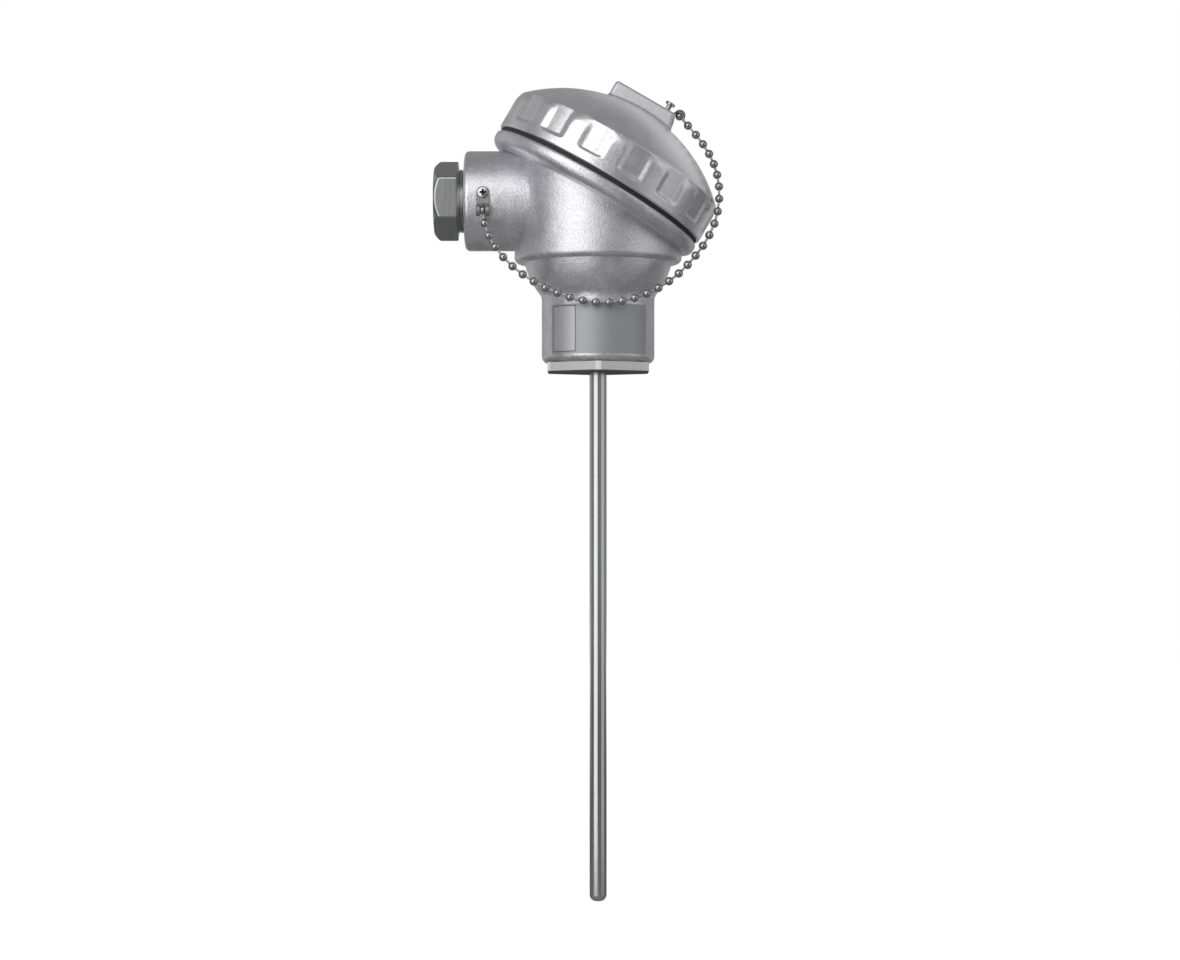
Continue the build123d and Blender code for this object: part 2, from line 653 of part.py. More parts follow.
# Lower chain clip: a steel strip on the front of the boss, rolled round the first bead
lower_strip_back = boss_radius + touch_gap
lower_strip_middle = lower_strip_back + clip_thickness / 2
lower_bead = Vector(-lower_clip_distance, -(lower_strip_back + lower_bead_stand_off),
                    boss_height - lower_bead_drop)
lower_clip_section = Plane(origin=(-lower_clip_distance, 0, 0), x_dir=(0, -1, 0), z_dir=(-1, 0, 0))
roll_angle = math.degrees(math.asin(
    (lower_strip_middle + lower_bead.Y) / clip_loop_radius))
roll_top = lower_bead.Z + clip_loop_radius * math.cos(math.radians(roll_angle))
with BuildPart() as chain_clip_lower:
    with BuildSketch(lower_clip_section):
        with BuildLine() as lower_strip_path:
            Line((lower_strip_middle, boss_height + lower_clip_end_height),
                 (lower_strip_middle, roll_top))
            CenterArc((-lower_bead.Y, lower_bead.Z), clip_loop_radius,
                      90 - roll_angle, 2 * roll_angle - 180)
        trace(lower_strip_path.line, line_width=clip_thickness)
    extrude(amount=clip_width / 2, both=True)
    with BuildSketch(Plane.XZ.offset(lower_strip_back)) as strip_outline:
        with Locations((-lower_clip_distance, lower_bead.Z)):
            Rectangle(clip_width, boss_height + lower_clip_end_height - lower_bead.Z,
                      align=(Align.CENTER, Align.MIN))
            Rectangle(clip_width, 2 * clip_loop_radius, align=(Align.CENTER, Align.MAX))
        strip_end = strip_outline.vertices().group_by(Axis.Y)[-1]
        fillet(strip_end, clip_width / 2 - touch_gap)
    extrude(amount=4 * clip_loop_radius, both=True, mode=Mode.INTERSECT)
    with BuildSketch(Plane.XZ.offset(lower_strip_back)):
        with Locations((-lower_clip_distance, boss_height + lower_clip_screw_height)):
            Circle(clip_screw_diameter / 2 + thread_gap)
    extrude(amount=2 * clip_thickness, both=True, mode=Mode.SUBTRACT)
    with BuildSketch(Plane.XY.offset(lower_bead.Z)):
        with Locations((-lower_clip_distance, lower_bead.Y)):
            Rectangle(clip_slot_width, 2 * clip_loop_radius)
    extrude(amount=-2 * clip_loop_radius, mode=Mode.SUBTRACT)
chain_clip_lower.part.label = "chain_clip_lower"
export_step(chain_clip_lower.part, "parts/chain_clip_lower.step")

# Pan-head screw of the lower clip
lower_head_seat = lower_strip_back + clip_thickness + touch_gap
lower_screw_plane = Plane(
    origin=(-lower_clip_distance, -lower_head_seat, boss_height + lower_clip_screw_height),
    x_dir=(1, 0, 0), z_dir=(0, -1, 0))
with BuildPart() as clip_screw_lower:
    with BuildSketch(lower_screw_plane):
        Circle(clip_head_diameter / 2)
    extrude(amount=clip_head_height)
    fillet(clip_screw_lower.faces().sort_by(Axis.Y)[0].edges(), clip_head_height / 2)
    with BuildSketch(lower_screw_plane):
        Circle(clip_screw_diameter / 2)
    extrude(amount=-clip_screw_depth + clip_thickness)
    cross_recess(lower_screw_plane.offset(clip_head_height))
clip_screw_lower.part.label = "clip_screw_lower"
export_step(clip_screw_lower.part, "parts/clip_screw_lower.step")

# Upper chain clip: the same strip on the grip, rolled over its raked edge round the last bead
upper_strip_middle = grip_top_height + touch_gap + clip_thickness / 2
upper_bead_level = grip_top_height + upper_bead_height
upper_bead = cap_plane.from_local_coords((upper_bead_offset, 0, upper_bead_level))
with BuildPart() as chain_clip_upper:
    with BuildSketch(cap_section):
        with BuildLine() as upper_strip_path:
            upper_roll = CenterArc((upper_bead_offset, upper_bead_level), clip_loop_radius,
                                   upper_roll_open_angle, 180 - upper_roll_open_angle)
            Polyline(upper_roll @ 1, (upper_clip_screw_offset + clip_head_diameter / 2,
                                      upper_strip_middle),
                     (upper_clip_end_offset, upper_strip_middle))
        trace(upper_strip_path.line, line_width=clip_thickness)
    extrude(amount=clip_width / 2, both=True)
    with BuildSketch(cap_plane.offset(grip_top_height)):
        with Locations((upper_clip_screw_offset, 0)):
            Circle(clip_screw_diameter / 2 + thread_gap)
    extrude(amount=2 * clip_thickness, mode=Mode.SUBTRACT)
    with BuildSketch(cap_plane.offset(upper_bead_level)):
        with Locations((upper_bead_offset, 0)):
            Rectangle(2 * clip_loop_radius, clip_slot_width, align=(Align.MIN, Align.CENTER))
    extrude(amount=-2 * clip_loop_radius, mode=Mode.SUBTRACT)
chain_clip_upper.part.label = "chain_clip_upper"
export_step(chain_clip_upper.part, "parts/chain_clip_upper.step")

# Pan-head screw of the upper clip, not driven home, as it is found
upper_head_seat = grip_top_height + clip_thickness + upper_clip_screw_stand
upper_screw_plane = Plane(
    origin=cap_plane.from_local_coords((upper_clip_screw_offset, 0, upper_head_seat)),
    x_dir=cap_across, z_dir=cap_direction)
with BuildPart() as clip_screw_upper:
    with BuildSketch(upper_screw_plane):
        Circle(clip_head_diameter / 2)
    extrude(amount=clip_head_height)
    fillet(clip_screw_upper.faces().sort_by(cap_axis)[-1].edges(), clip_head_height / 2)
    with BuildSketch(upper_screw_plane):
        Circle(clip_screw_diameter / 2)
    extrude(amount=-clip_screw_depth - clip_thickness)
    cross_recess(upper_screw_plane.offset(clip_head_height))
clip_screw_upper.part.label = "clip_screw_upper"
export_step(clip_screw_upper.part, "parts/clip_screw_upper.step")


def beside_cap(stand_off, angle, height):
    """A point of the chain by its distance outside the cap's ring, its angle round the cap's
    axis from the lowest side, and its height above the gasket."""
    distance = cap_ring_radius + stand_off
    return cap_plane.from_local_coords((distance * math.cos(math.radians(angle)),
                                        distance * math.sin(math.radians(angle)), height))


# The chain's route: down from the boss, across the front of the neck, up past the cap's rim
chain_front = -(neck_radius + bead_radius + chain_neck_gap)
with BuildLine() as chain_route:
    Spline(lower_bead, (-42.0, -20.5, 53.8), (-37.6, -20.9, 44.7), (-26.8, -22.0, 34.4),
           (-13.6, chain_front + 0.4, 27.7), (0.8, chain_front, 24.7),
           (15.2, chain_front + 0.8, 27.0), beside_cap(3.1, -25.2, -17.8),
           beside_cap(4.7, -19.5, -4.6), beside_cap(3.7, -16.3, 8.6),
           beside_cap(-1.8, -15.4, 21.0), beside_cap(-12.5, -10.1, 31.0),
           beside_cap(-21.4, -4.7, 35.5), upper_bead)
route = chain_route.edges()[0]
bead_gaps = round(route.length / bead_pitch)
beads = [route.position_at(i / bead_gaps * route.length, position_mode=PositionMode.LENGTH)
         for i in range(bead_gaps + 1)]


def add_beads(first, last):
    """Add the beads from number first up to, but not including, number last."""
    with Locations(*beads[first:last]):
        Sphere(bead_radius)


def add_link(start, end, gap_at_end):
    """Add the wire link between two beads, ending just off their surfaces."""
    direction = (end - start).normalized()
    near = start + direction * (bead_radius + touch_gap)
    length = (end - start).length - 2 * bead_radius - touch_gap - gap_at_end
    with BuildSketch(Plane(origin=near, z_dir=direction)) as wire_section:
        Circle(link_diameter / 2)
    extrude(wire_section.sketch, amount=length)


# Stretch that hangs on the head: beads, then the links between them
lifted_start = head_bead_count
risen_start = lifted_start + lifted_bead_count
cap_start = risen_start + gasket_bead_count
with BuildPart() as chain_beads_lower:
    add_beads(0, lifted_start)
chain_beads_lower.part.label = "chain_beads_lower"
export_step(chain_beads_lower.part, "parts/chain_beads_lower.step")

with BuildPart() as chain_links_lower:
    for i in range(lifted_start - 1):
        add_link(beads[i], beads[i + 1], touch_gap)
    add_link(beads[lifted_start - 1], beads[lifted_start], loose_gap)
chain_links_lower.part.label = "chain_links_lower"
export_step(chain_links_lower.part, "parts/chain_links_lower.step")

# Stretch beside the flange, which follows the cap when it is lifted off
with BuildPart() as chain_beads_middle:
    add_beads(lifted_start, risen_start)
chain_beads_middle.part.label = "chain_beads_middle"
export_step(chain_beads_middle.part, "parts/chain_beads_middle.step")

with BuildPart() as chain_links_middle:
    for i in range(lifted_start, risen_start - 1):
        add_link(beads[i], beads[i + 1], touch_gap)
    add_link(beads[risen_start - 1], beads[risen_start], loose_gap)
chain_links_middle.part.label = "chain_links_middle"
export_step(chain_links_middle.part, "parts/chain_links_middle.step")

# Stretch beside the dome, which rises with the cap as it unscrews
with BuildPart() as chain_beads_upper:
    add_beads(risen_start, cap_start)
chain_beads_upper.part.label = "chain_beads_upper"
export_step(chain_beads_upper.part, "parts/chain_beads_upper.step")

with BuildPart() as chain_links_upper:
    for i in range(risen_start, cap_start - 1):
        add_link(beads[i], beads[i + 1], touch_gap)
chain_links_upper.part.label = "chain_links_upper"
export_step(chain_links_upper.part, "parts/chain_links_upper.step")

# Last beads, held by the upper clip and turning with the cap
with BuildPart() as chain_beads_cap_end:
    add_beads(cap_start, len(beads))
chain_beads_cap_end.part.label = "chain_beads_cap_end"
export_step(chain_beads_cap_end.part, "parts/chain_beads_cap_end.step")

with BuildPart() as chain_links_cap_end:
    for i in range(cap_start, len(beads) - 1):
        add_link(beads[i], beads[i + 1], touch_gap)
    add_link(beads[cap_start], beads[cap_start - 1], loose_gap)
chain_links_cap_end.part.label = "chain_links_cap_end"
export_step(chain_links_cap_end.part, "parts/chain_links_cap_end.step")
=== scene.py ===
import math

import bpy
import numpy as np
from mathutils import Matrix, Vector


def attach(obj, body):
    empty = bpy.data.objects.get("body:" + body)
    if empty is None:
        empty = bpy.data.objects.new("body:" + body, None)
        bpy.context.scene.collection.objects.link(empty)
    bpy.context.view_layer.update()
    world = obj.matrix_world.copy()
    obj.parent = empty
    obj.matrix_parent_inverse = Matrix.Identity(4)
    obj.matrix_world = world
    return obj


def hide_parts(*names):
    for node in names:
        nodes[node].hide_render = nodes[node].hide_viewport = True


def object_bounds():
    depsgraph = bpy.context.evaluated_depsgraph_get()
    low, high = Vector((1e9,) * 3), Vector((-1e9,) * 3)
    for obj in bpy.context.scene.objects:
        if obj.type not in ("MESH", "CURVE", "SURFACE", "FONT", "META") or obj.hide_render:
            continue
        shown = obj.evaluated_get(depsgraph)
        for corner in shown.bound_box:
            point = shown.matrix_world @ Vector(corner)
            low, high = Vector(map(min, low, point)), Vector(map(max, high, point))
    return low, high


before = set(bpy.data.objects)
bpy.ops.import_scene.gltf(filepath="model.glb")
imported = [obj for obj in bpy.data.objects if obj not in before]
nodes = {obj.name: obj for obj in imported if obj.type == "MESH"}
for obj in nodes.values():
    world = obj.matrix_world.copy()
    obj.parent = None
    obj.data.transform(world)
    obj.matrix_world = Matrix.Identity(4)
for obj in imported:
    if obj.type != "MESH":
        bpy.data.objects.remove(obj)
cad_low, cad_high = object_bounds()

# Camera: level with the middle of the sensor, in front of its chain side, with the long lens
# of a catalogue photograph and no turn or tilt.
camera_place = (-0.00307, -0.8336, -0.04066)
camera_focal_mm = 67.18
camera_sensor_mm = 36.0

camera_data = bpy.data.cameras.new("catalogue_camera")
camera_data.lens = camera_focal_mm
camera_data.sensor_width = camera_sensor_mm
camera_data.clip_start = 0.01
camera_data.clip_end = 50.0
camera = bpy.data.objects.new("catalogue_camera", camera_data)
camera.location = camera_place
camera.rotation_euler = (math.radians(90), 0, 0)
bpy.context.scene.collection.objects.link(camera)
bpy.context.scene.camera = camera
bpy.context.scene.view_settings.view_transform = "Standard"


# Studio: a pale floor and a white backdrop. Two softboxes stand at the left of the camera,
# one low and one high, one above it, a weak one at its right, and two faint ones behind, for
# the rim and the crown. The room is grey, a little darker behind the camera.
floor_drop = 0.16
floor_height = cad_low.z - floor_drop
floor_size = 6.0
floor_albedo = (0.45, 0.45, 0.45, 1)
floor_glow_near = 0.8
floor_glow_far = 1.0
floor_near = 0.3
floor_far = 0.9
room_front = (0.24, 0.24, 0.243, 1)
room_back = (0.3, 0.3, 0.305, 1)
room_turn = (-0.35, 0.75)
backdrop_white = (1.0, 1.0, 1.0, 1)
backdrop_edge = 0.9
backdrop_full = 1.25
sweep_near = 1.0
sweep_far = 2.8
softbox_distance = 0.95
softbox_target = Vector((0.0, 0.0, 0.03))


def new_material(name):
    """An empty node material, its tree and its output node."""
    material = bpy.data.materials.new(name)
    material.use_nodes = True
    tree = material.node_tree
    tree.nodes.clear()
    output = tree.nodes.new("ShaderNodeOutputMaterial")
    return material, tree, output


def join(tree, source, target):
    """Link an output socket to an input socket."""
    tree.links.new(source, target)


def backdrop_rays(tree, behind):
    """How much of the white backdrop a ray sees: all of it for the camera, and for mirrored and
    passing rays as much as lies behind the object."""
    rays = tree.nodes.new("ShaderNodeLightPath")
    mirrored = tree.nodes.new("ShaderNodeMath")
    mirrored.operation = "MAXIMUM"
    join(tree, rays.outputs["Is Glossy Ray"], mirrored.inputs[0])
    join(tree, rays.outputs["Is Transmission Ray"], mirrored.inputs[1])
    seen = tree.nodes.new("ShaderNodeMath")
    seen.operation = "MULTIPLY"
    join(tree, mirrored.outputs[0], seen.inputs[0])
    join(tree, behind, seen.inputs[1])
    shown = tree.nodes.new("ShaderNodeMath")
    shown.operation = "MAXIMUM"
    join(tree, rays.outputs["Is Camera Ray"], shown.inputs[0])
    join(tree, seen.outputs[0], shown.inputs[1])
    return shown.outputs[0]


def smooth_range(tree, value, low, high, out_low=0.0, out_high=1.0):
    """Map a value from low..high to out_low..out_high along an S-curve."""
    node = tree.nodes.new("ShaderNodeMapRange")
    node.interpolation_type = "SMOOTHSTEP"
    for label, amount in (("From Min", low), ("From Max", high),
                          ("To Min", out_low), ("To Max", out_high)):
        node.inputs[label].default_value = amount
    join(tree, value, node.inputs["Value"])
    return node.outputs["Result"]


def make_floor():
    """A flat pale floor whose own light brings what the camera sees up to white, while the
    lamps still draw the object's shadow on it."""
    half = floor_size / 2
    mesh = bpy.data.meshes.new("studio_floor")
    mesh.from_pydata([(-half, -half, floor_height), (half, -half, floor_height),
                      (half, half, floor_height), (-half, half, floor_height)],
                     [], [(0, 1, 2, 3)])
    floor = bpy.data.objects.new("studio_floor", mesh)
    bpy.context.scene.collection.objects.link(floor)
    material, tree, output = new_material("studio_paper")
    paint = tree.nodes.new("ShaderNodeBsdfDiffuse")
    paint.inputs["Color"].default_value = floor_albedo
    glow = tree.nodes.new("ShaderNodeEmission")
    place = tree.nodes.new("ShaderNodeTexCoord")
    away = tree.nodes.new("ShaderNodeVectorMath")
    away.operation = "LENGTH"
    join(tree, place.outputs["Object"], away.inputs[0])
    axes = tree.nodes.new("ShaderNodeSeparateXYZ")
    join(tree, place.outputs["Object"], axes.inputs[0])
    behind = smooth_range(tree, axes.outputs["Y"], sweep_near, sweep_far)
    strength = tree.nodes.new("ShaderNodeMath")
    strength.operation = "MULTIPLY"
    join(tree, backdrop_rays(tree, behind), strength.inputs[0])
    join(tree, smooth_range(tree, away.outputs["Value"], floor_near, floor_far,
                            floor_glow_near, floor_glow_far), strength.inputs[1])
    join(tree, strength.outputs[0], glow.inputs["Strength"])
    both = tree.nodes.new("ShaderNodeAddShader")
    join(tree, paint.outputs[0], both.inputs[0])
    join(tree, glow.outputs[0], both.inputs[1])
    join(tree, both.outputs[0], output.inputs["Surface"])
    mesh.materials.append(material)


def make_room():
    """World light: a grey room, a little darker behind the camera, with a backdrop at +Y whose
    white mirrored rays see in part. The camera sees white all round."""
    world = bpy.data.worlds.new("studio_room")
    bpy.context.scene.world = world
    world.use_nodes = True
    tree = world.node_tree
    tree.nodes.clear()
    output = tree.nodes.new("ShaderNodeOutputWorld")
    background = tree.nodes.new("ShaderNodeBackground")
    where = tree.nodes.new("ShaderNodeTexCoord")
    axes = tree.nodes.new("ShaderNodeSeparateXYZ")
    join(tree, where.outputs["Generated"], axes.inputs[0])
    grey = tree.nodes.new("ShaderNodeMix")
    grey.data_type = "RGBA"
    grey.inputs[6].default_value = room_front
    grey.inputs[7].default_value = room_back
    join(tree, smooth_range(tree, axes.outputs["Y"], *room_turn), grey.inputs[0])
    shown = tree.nodes.new("ShaderNodeMix")
    shown.data_type = "RGBA"
    shown.inputs[7].default_value = backdrop_white
    join(tree, grey.outputs[2], shown.inputs[6])
    behind = smooth_range(tree, axes.outputs["Y"], backdrop_edge, backdrop_full)
    join(tree, backdrop_rays(tree, behind), shown.inputs[0])
    join(tree, shown.outputs[2], background.inputs["Color"])
    join(tree, background.outputs[0], output.inputs["Surface"])


def add_softbox(name, azimuth, elevation, width, height, brightness):
    """A rectangular lamp that faces the head and looks so bright in a mirror, where 1 is
    white. Azimuth is measured from the camera's side towards its right, elevation above the
    horizon, both in degrees. Its power is pi times its area times its brightness."""
    a = math.radians(azimuth)
    e = math.radians(elevation)
    direction = Vector((math.sin(a) * math.cos(e), -math.cos(a) * math.cos(e), math.sin(e)))
    lamp = bpy.data.lights.new(name, "AREA")
    lamp.shape = "RECTANGLE"
    lamp.size = width
    lamp.size_y = height
    lamp.energy = math.pi * width * height * brightness
    softbox = bpy.data.objects.new(name, lamp)
    softbox.location = softbox_target + softbox_distance * direction
    softbox.visible_camera = False
    softbox.rotation_euler = (-direction).to_track_quat("-Z", "Y").to_euler()
    bpy.context.scene.collection.objects.link(softbox)
    return softbox


make_floor()
make_room()
add_softbox("key_softbox_low", -33, -4.5, 0.86, 0.63, 1.2)
add_softbox("key_softbox_high", -37, 26, 0.8, 0.4, 1.85)
add_softbox("front_softbox", 0, 38, 0.45, 0.6, 1.1)
add_softbox("fill_softbox", 65, 4, 0.82, 1.1, 0.42)
add_softbox("rim_softbox", -120, 10, 0.6, 1.0, 0.22)
add_softbox("crown_softbox", 150, 32, 0.7, 0.4, 0.42)


# Head housing: one aluminium die casting of neck, bowl, body, cable boss, flange and collar,
# shot-blasted after casting, so its surface is satin with fine grain and broad, faint clouds.
noise_roughness = 0.6
noise_span = (0.3, 0.7)
cloud_span = (0.25, 0.75)
grain_share = 0.62
cloud_share = 0.38
grain_depth = 0.00014


def new_group(name, inputs, outputs):
    """A shader node group with named float, colour or vector sockets, and its ends."""
    group = bpy.data.node_groups.new(name, "ShaderNodeTree")
    for label, kind in inputs:
        group.interface.new_socket(label, in_out="INPUT", socket_type="NodeSocket" + kind)
    for label, kind in outputs:
        group.interface.new_socket(label, in_out="OUTPUT", socket_type="NodeSocket" + kind)
    return group, group.nodes.new("NodeGroupInput"), group.nodes.new("NodeGroupOutput")


def make_noise(tree, vector, scale, detail):
    """A fractal noise of so many cells a metre at a place, and its factor socket."""
    noise = tree.nodes.new("ShaderNodeTexNoise")
    noise.inputs["Detail"].default_value = detail
    noise.inputs["Roughness"].default_value = noise_roughness
    join(tree, vector, noise.inputs["Vector"])
    if isinstance(scale, (int, float)):
        noise.inputs["Scale"].default_value = scale
    else:
        join(tree, scale, noise.inputs["Scale"])
    return noise.outputs["Fac"]


def make_range(tree, value, low, high, out_low, out_high):
    """Map a value from low..high to out_low..out_high, clamped."""
    node = tree.nodes.new("ShaderNodeMapRange")
    join(tree, value, node.inputs["Value"])
    for label, amount in (("From Min", low), ("From Max", high),
                          ("To Min", out_low), ("To Max", out_high)):
        if isinstance(amount, (int, float)):
            node.inputs[label].default_value = amount
        else:
            join(tree, amount, node.inputs[label])
    return node.outputs["Result"]


def make_mix(tree, factor, first, second):
    """Blend two colours by a factor."""
    node = tree.nodes.new("ShaderNodeMix")
    node.data_type = "RGBA"
    join(tree, factor, node.inputs[0])
    for index, colour in ((6, first), (7, second)):
        if isinstance(colour, tuple):
            node.inputs[index].default_value = colour
        else:
            join(tree, colour, node.inputs[index])
    return node.outputs[2]


def make_grained_skin():
    """Cast and moulded skins: grains shift the tone and tilt the surface, clouds shift tone
    and roughness over a few millimetres."""
    group, given, result = new_group(
        "grained_skin",
        [("Grain Cells", "Float"), ("Cloud Cells", "Float"), ("Dark", "Color"),
         ("Light", "Color"), ("Smooth", "Float"), ("Rough", "Float"), ("Relief", "Float")],
        [("Color", "Color"), ("Roughness", "Float"), ("Normal", "Vector")])
    place = group.nodes.new("ShaderNodeTexCoord").outputs["Object"]
    grain = make_noise(group, place, given.outputs["Grain Cells"], 3)
    cloud = make_noise(group, place, given.outputs["Cloud Cells"], 4)
    grain_tone = make_range(group, grain, *noise_span, 0.0, grain_share)
    cloud_tone = make_range(group, cloud, *noise_span, 0.0, cloud_share)
    tone = group.nodes.new("ShaderNodeMath")
    tone.operation = "ADD"
    join(group, grain_tone, tone.inputs[0])
    join(group, cloud_tone, tone.inputs[1])
    colour = make_mix(group, tone.outputs[0], given.outputs["Dark"], given.outputs["Light"])
    roughness = make_range(group, cloud, *cloud_span, given.outputs["Smooth"],
                           given.outputs["Rough"])
    bump = group.nodes.new("ShaderNodeBump")
    bump.inputs["Distance"].default_value = grain_depth
    join(group, given.outputs["Relief"], bump.inputs["Strength"])
    join(group, grain, bump.inputs["Height"])
    join(group, colour, result.inputs["Color"])
    join(group, roughness, result.inputs["Roughness"])
    join(group, bump.outputs["Normal"], result.inputs["Normal"])
    return group


def place_group(tree, group, **values):
    """Put a node group in a material and set its named inputs."""
    node = tree.nodes.new("ShaderNodeGroup")
    node.node_tree = group
    for label, value in values.items():
        node.inputs[label.replace("_", " ")].default_value = value
    return node


def make_finish(name, group, metallic=1.0, **values):
    """A solid finish whose colour, roughness and normal come from a surface group."""
    material, tree, output = new_material(name)
    shader = tree.nodes.new("ShaderNodeBsdfPrincipled")
    shader.inputs["Metallic"].default_value = metallic
    skin = place_group(tree, group, **values)
    join(tree, skin.outputs["Color"], shader.inputs["Base Color"])
    join(tree, skin.outputs["Roughness"], shader.inputs["Roughness"])
    join(tree, skin.outputs["Normal"], shader.inputs["Normal"])
    join(tree, shader.outputs[0], output.inputs["Surface"])
    return material


def dress(material, *names):
    """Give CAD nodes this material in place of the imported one."""
    for name in names:
        mesh = nodes[name].data
        mesh.materials.clear()
        mesh.materials.append(material)


grained_skin = make_grained_skin()
cast_aluminium = make_finish(
    "blasted_aluminium", grained_skin, Grain_Cells=1300.0, Cloud_Cells=170.0,
    Dark=(0.57, 0.565, 0.6, 1), Light=(0.96, 0.955, 1.0, 1),
    Smooth=0.35, Rough=0.46, Relief=1.0)
dress(cast_aluminium, "head_housing")


# Screw cap: an aluminium die casting, a domed lid with a crenellated ring for the hand. Its
# skirt is threaded inside and screws over the head's collar. U runs down its slope, V away
# from the camera and N along its tilted axis, in millimetres from the middle of the seal.
mm = 0.001
cap_origin = Vector((0.0, 0.0, 0.0702))
cap_tilt = math.radians(30)
ring_radius = 43.3
ring_relief = 0.9
ring_bottom = 0.7
ring_top = 15.9
ring_land_top = 14.5
land_top_slope = 0.35
pocket_floor = 4.5
pocket_half_width = 4.5
pocket_corner = 0.8
pocket_count = 16
pocket_phase = math.radians(-9)
relief_blend = 1.3
flank_slope = 0.4
bevel_radius = 41.4
dome_radius = 60.2
dome_centre = -27.2
inner_dome_radius = 57.2
skirt_radius = 38.3
skirt_top_gap = 0.3
skirt_end = 1.2
skirt_end_round = 0.5
skirt_thread = (2.0, 11.0)
skirt_thread_depth = 0.12
thread_pitch = 2.0
rim_round = 0.7
ring_wall_start = 1.6
shoulder_round = 0.9
shoulder_drop = 0.75
shoulder_angles = (5, 62)
land_edge_blend = 1.2
crown_angle = 89.9
cap_columns = 640
skirt_rows = 40
ring_rows = 46
sharp_angle = 40


def in_cap_frame(u, v, n):
    """World places in metres of cap-frame places in millimetres: U and N are turned by the
    cap's tilt about the Y axis, V is Y."""
    c, s = math.cos(cap_tilt), math.sin(cap_tilt)
    world = np.stack((c * u + s * n, v, c * n - s * u), axis=-1) * mm
    return world + np.array(cap_origin)


def grid_faces(rows, columns, closed_rows=False):
    """Quads between neighbouring rows of a grid, with the last column joined to the first and,
    where asked, the last row to the first."""
    row = np.arange(rows if closed_rows else rows - 1)[:, None]
    above = (row + 1) % rows * columns
    row = row * columns
    step = np.arange(columns)[None, :]
    after = (step + 1) % columns
    return np.stack((row + step, row + after, above + after, above + step),
                    axis=-1).reshape(-1, 4)


def make_piece(name, points, faces, material, body, caps=()):
    """A smooth mesh object from arrays of places and quads, and lists of the corners of its
    end faces, that rides a body. Its edges of over the sharp angle, in degrees, stay sharp."""
    mesh = bpy.data.meshes.new(name)
    mesh.from_pydata(points.reshape(-1, 3).tolist(), [], faces.tolist() + list(caps))
    mesh.polygons.foreach_set("use_smooth", np.ones(len(mesh.polygons), dtype=bool))
    mesh.set_sharp_from_angle(angle=math.radians(sharp_angle))
    mesh.materials.append(material)
    mesh.update()
    piece = bpy.data.objects.new(name, mesh)
    bpy.context.scene.collection.objects.link(piece)
    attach(piece, body)
    return piece


def smooth_step(value, low, high):
    """0 below low, 1 above high, with the S-curve 3t^2 - 2t^3 between."""
    t = np.clip((value - low) / (high - low), 0, 1)
    return t * t * (3 - 2 * t)


def smooth_min(a, b, width):
    """The smaller of two distances, rounded by a parabola where they differ by under width."""
    h = np.clip(0.5 + 0.5 * (b - a) / width, 0, 1)
    return b + (a - b) * h - width * h * (1 - h)


def ring_land(theta, n):
    """How far the ring stands out at an angle and a height, from 0 in a pocket or above the
    lands to 1 on a land: the distance to the nearest pocket, a box with round corners, or to
    the step above the lands, run through an S-curve."""
    pitch = 2 * math.pi / pocket_count
    turn = (theta - pocket_phase + pitch / 2) % pitch - pitch / 2
    across = flank_slope * (np.abs(turn) * ring_radius - pocket_half_width) + pocket_corner
    above = pocket_floor + pocket_corner - n
    corner = np.hypot(np.maximum(across, 0), np.maximum(above, 0))
    pocket = corner + np.minimum(np.maximum(across, above), 0) - pocket_corner
    edge = smooth_min(pocket, land_top_slope * (ring_land_top - n), land_edge_blend)
    return smooth_step(edge, -relief_blend / 2, relief_blend / 2)


def arc(centre_r, centre_n, radius, start, end, count):
    """Places on a circle of the profile between two angles in degrees."""
    a = np.radians(np.linspace(start, end, count))
    return np.stack((centre_r + radius * np.cos(a), centre_n + radius * np.sin(a)), axis=-1)


def straight_wall(radius, start, end, count):
    """Places on a straight wall of the profile, at one radius between two heights."""
    return np.stack((np.full(count, radius), np.linspace(start, end, count)), axis=-1)


def cap_profile():
    """The half section from the inner crown, down the threaded skirt, round the rim, up the
    ring and over the dome to the outer crown, as radius and N. Arcs join straight walls."""
    skirt_top = dome_centre + math.sqrt(inner_dome_radius ** 2 - skirt_radius ** 2)
    skirt_angle = math.degrees(math.acos(skirt_radius / inner_dome_radius))
    dome_angle = math.degrees(math.acos(bevel_radius / dome_radius))
    shoulder_radius = ring_radius - ring_relief - shoulder_round
    return np.concatenate((
        arc(0, dome_centre, inner_dome_radius, crown_angle, skirt_angle, 12),
        straight_wall(skirt_radius, skirt_top - skirt_top_gap, skirt_end, skirt_rows),
        arc(skirt_radius + skirt_end_round, ring_bottom + skirt_end_round, skirt_end_round,
            180, 270, 4),
        arc(ring_radius - rim_round, ring_bottom + rim_round, rim_round, 270, 360, 6),
        straight_wall(ring_radius, ring_wall_start, ring_top - shoulder_round, ring_rows),
        arc(shoulder_radius, ring_top - shoulder_drop, shoulder_round, *shoulder_angles, 7),
        arc(0, dome_centre, dome_radius, dome_angle, crown_angle, 26)))


handled_aluminium = make_finish(
    "handled_aluminium", grained_skin, Grain_Cells=1300.0, Cloud_Cells=170.0,
    Dark=(0.71, 0.705, 0.735, 1), Light=(0.97, 0.965, 1.0, 1),
    Smooth=0.3, Rough=0.4, Relief=0.65)


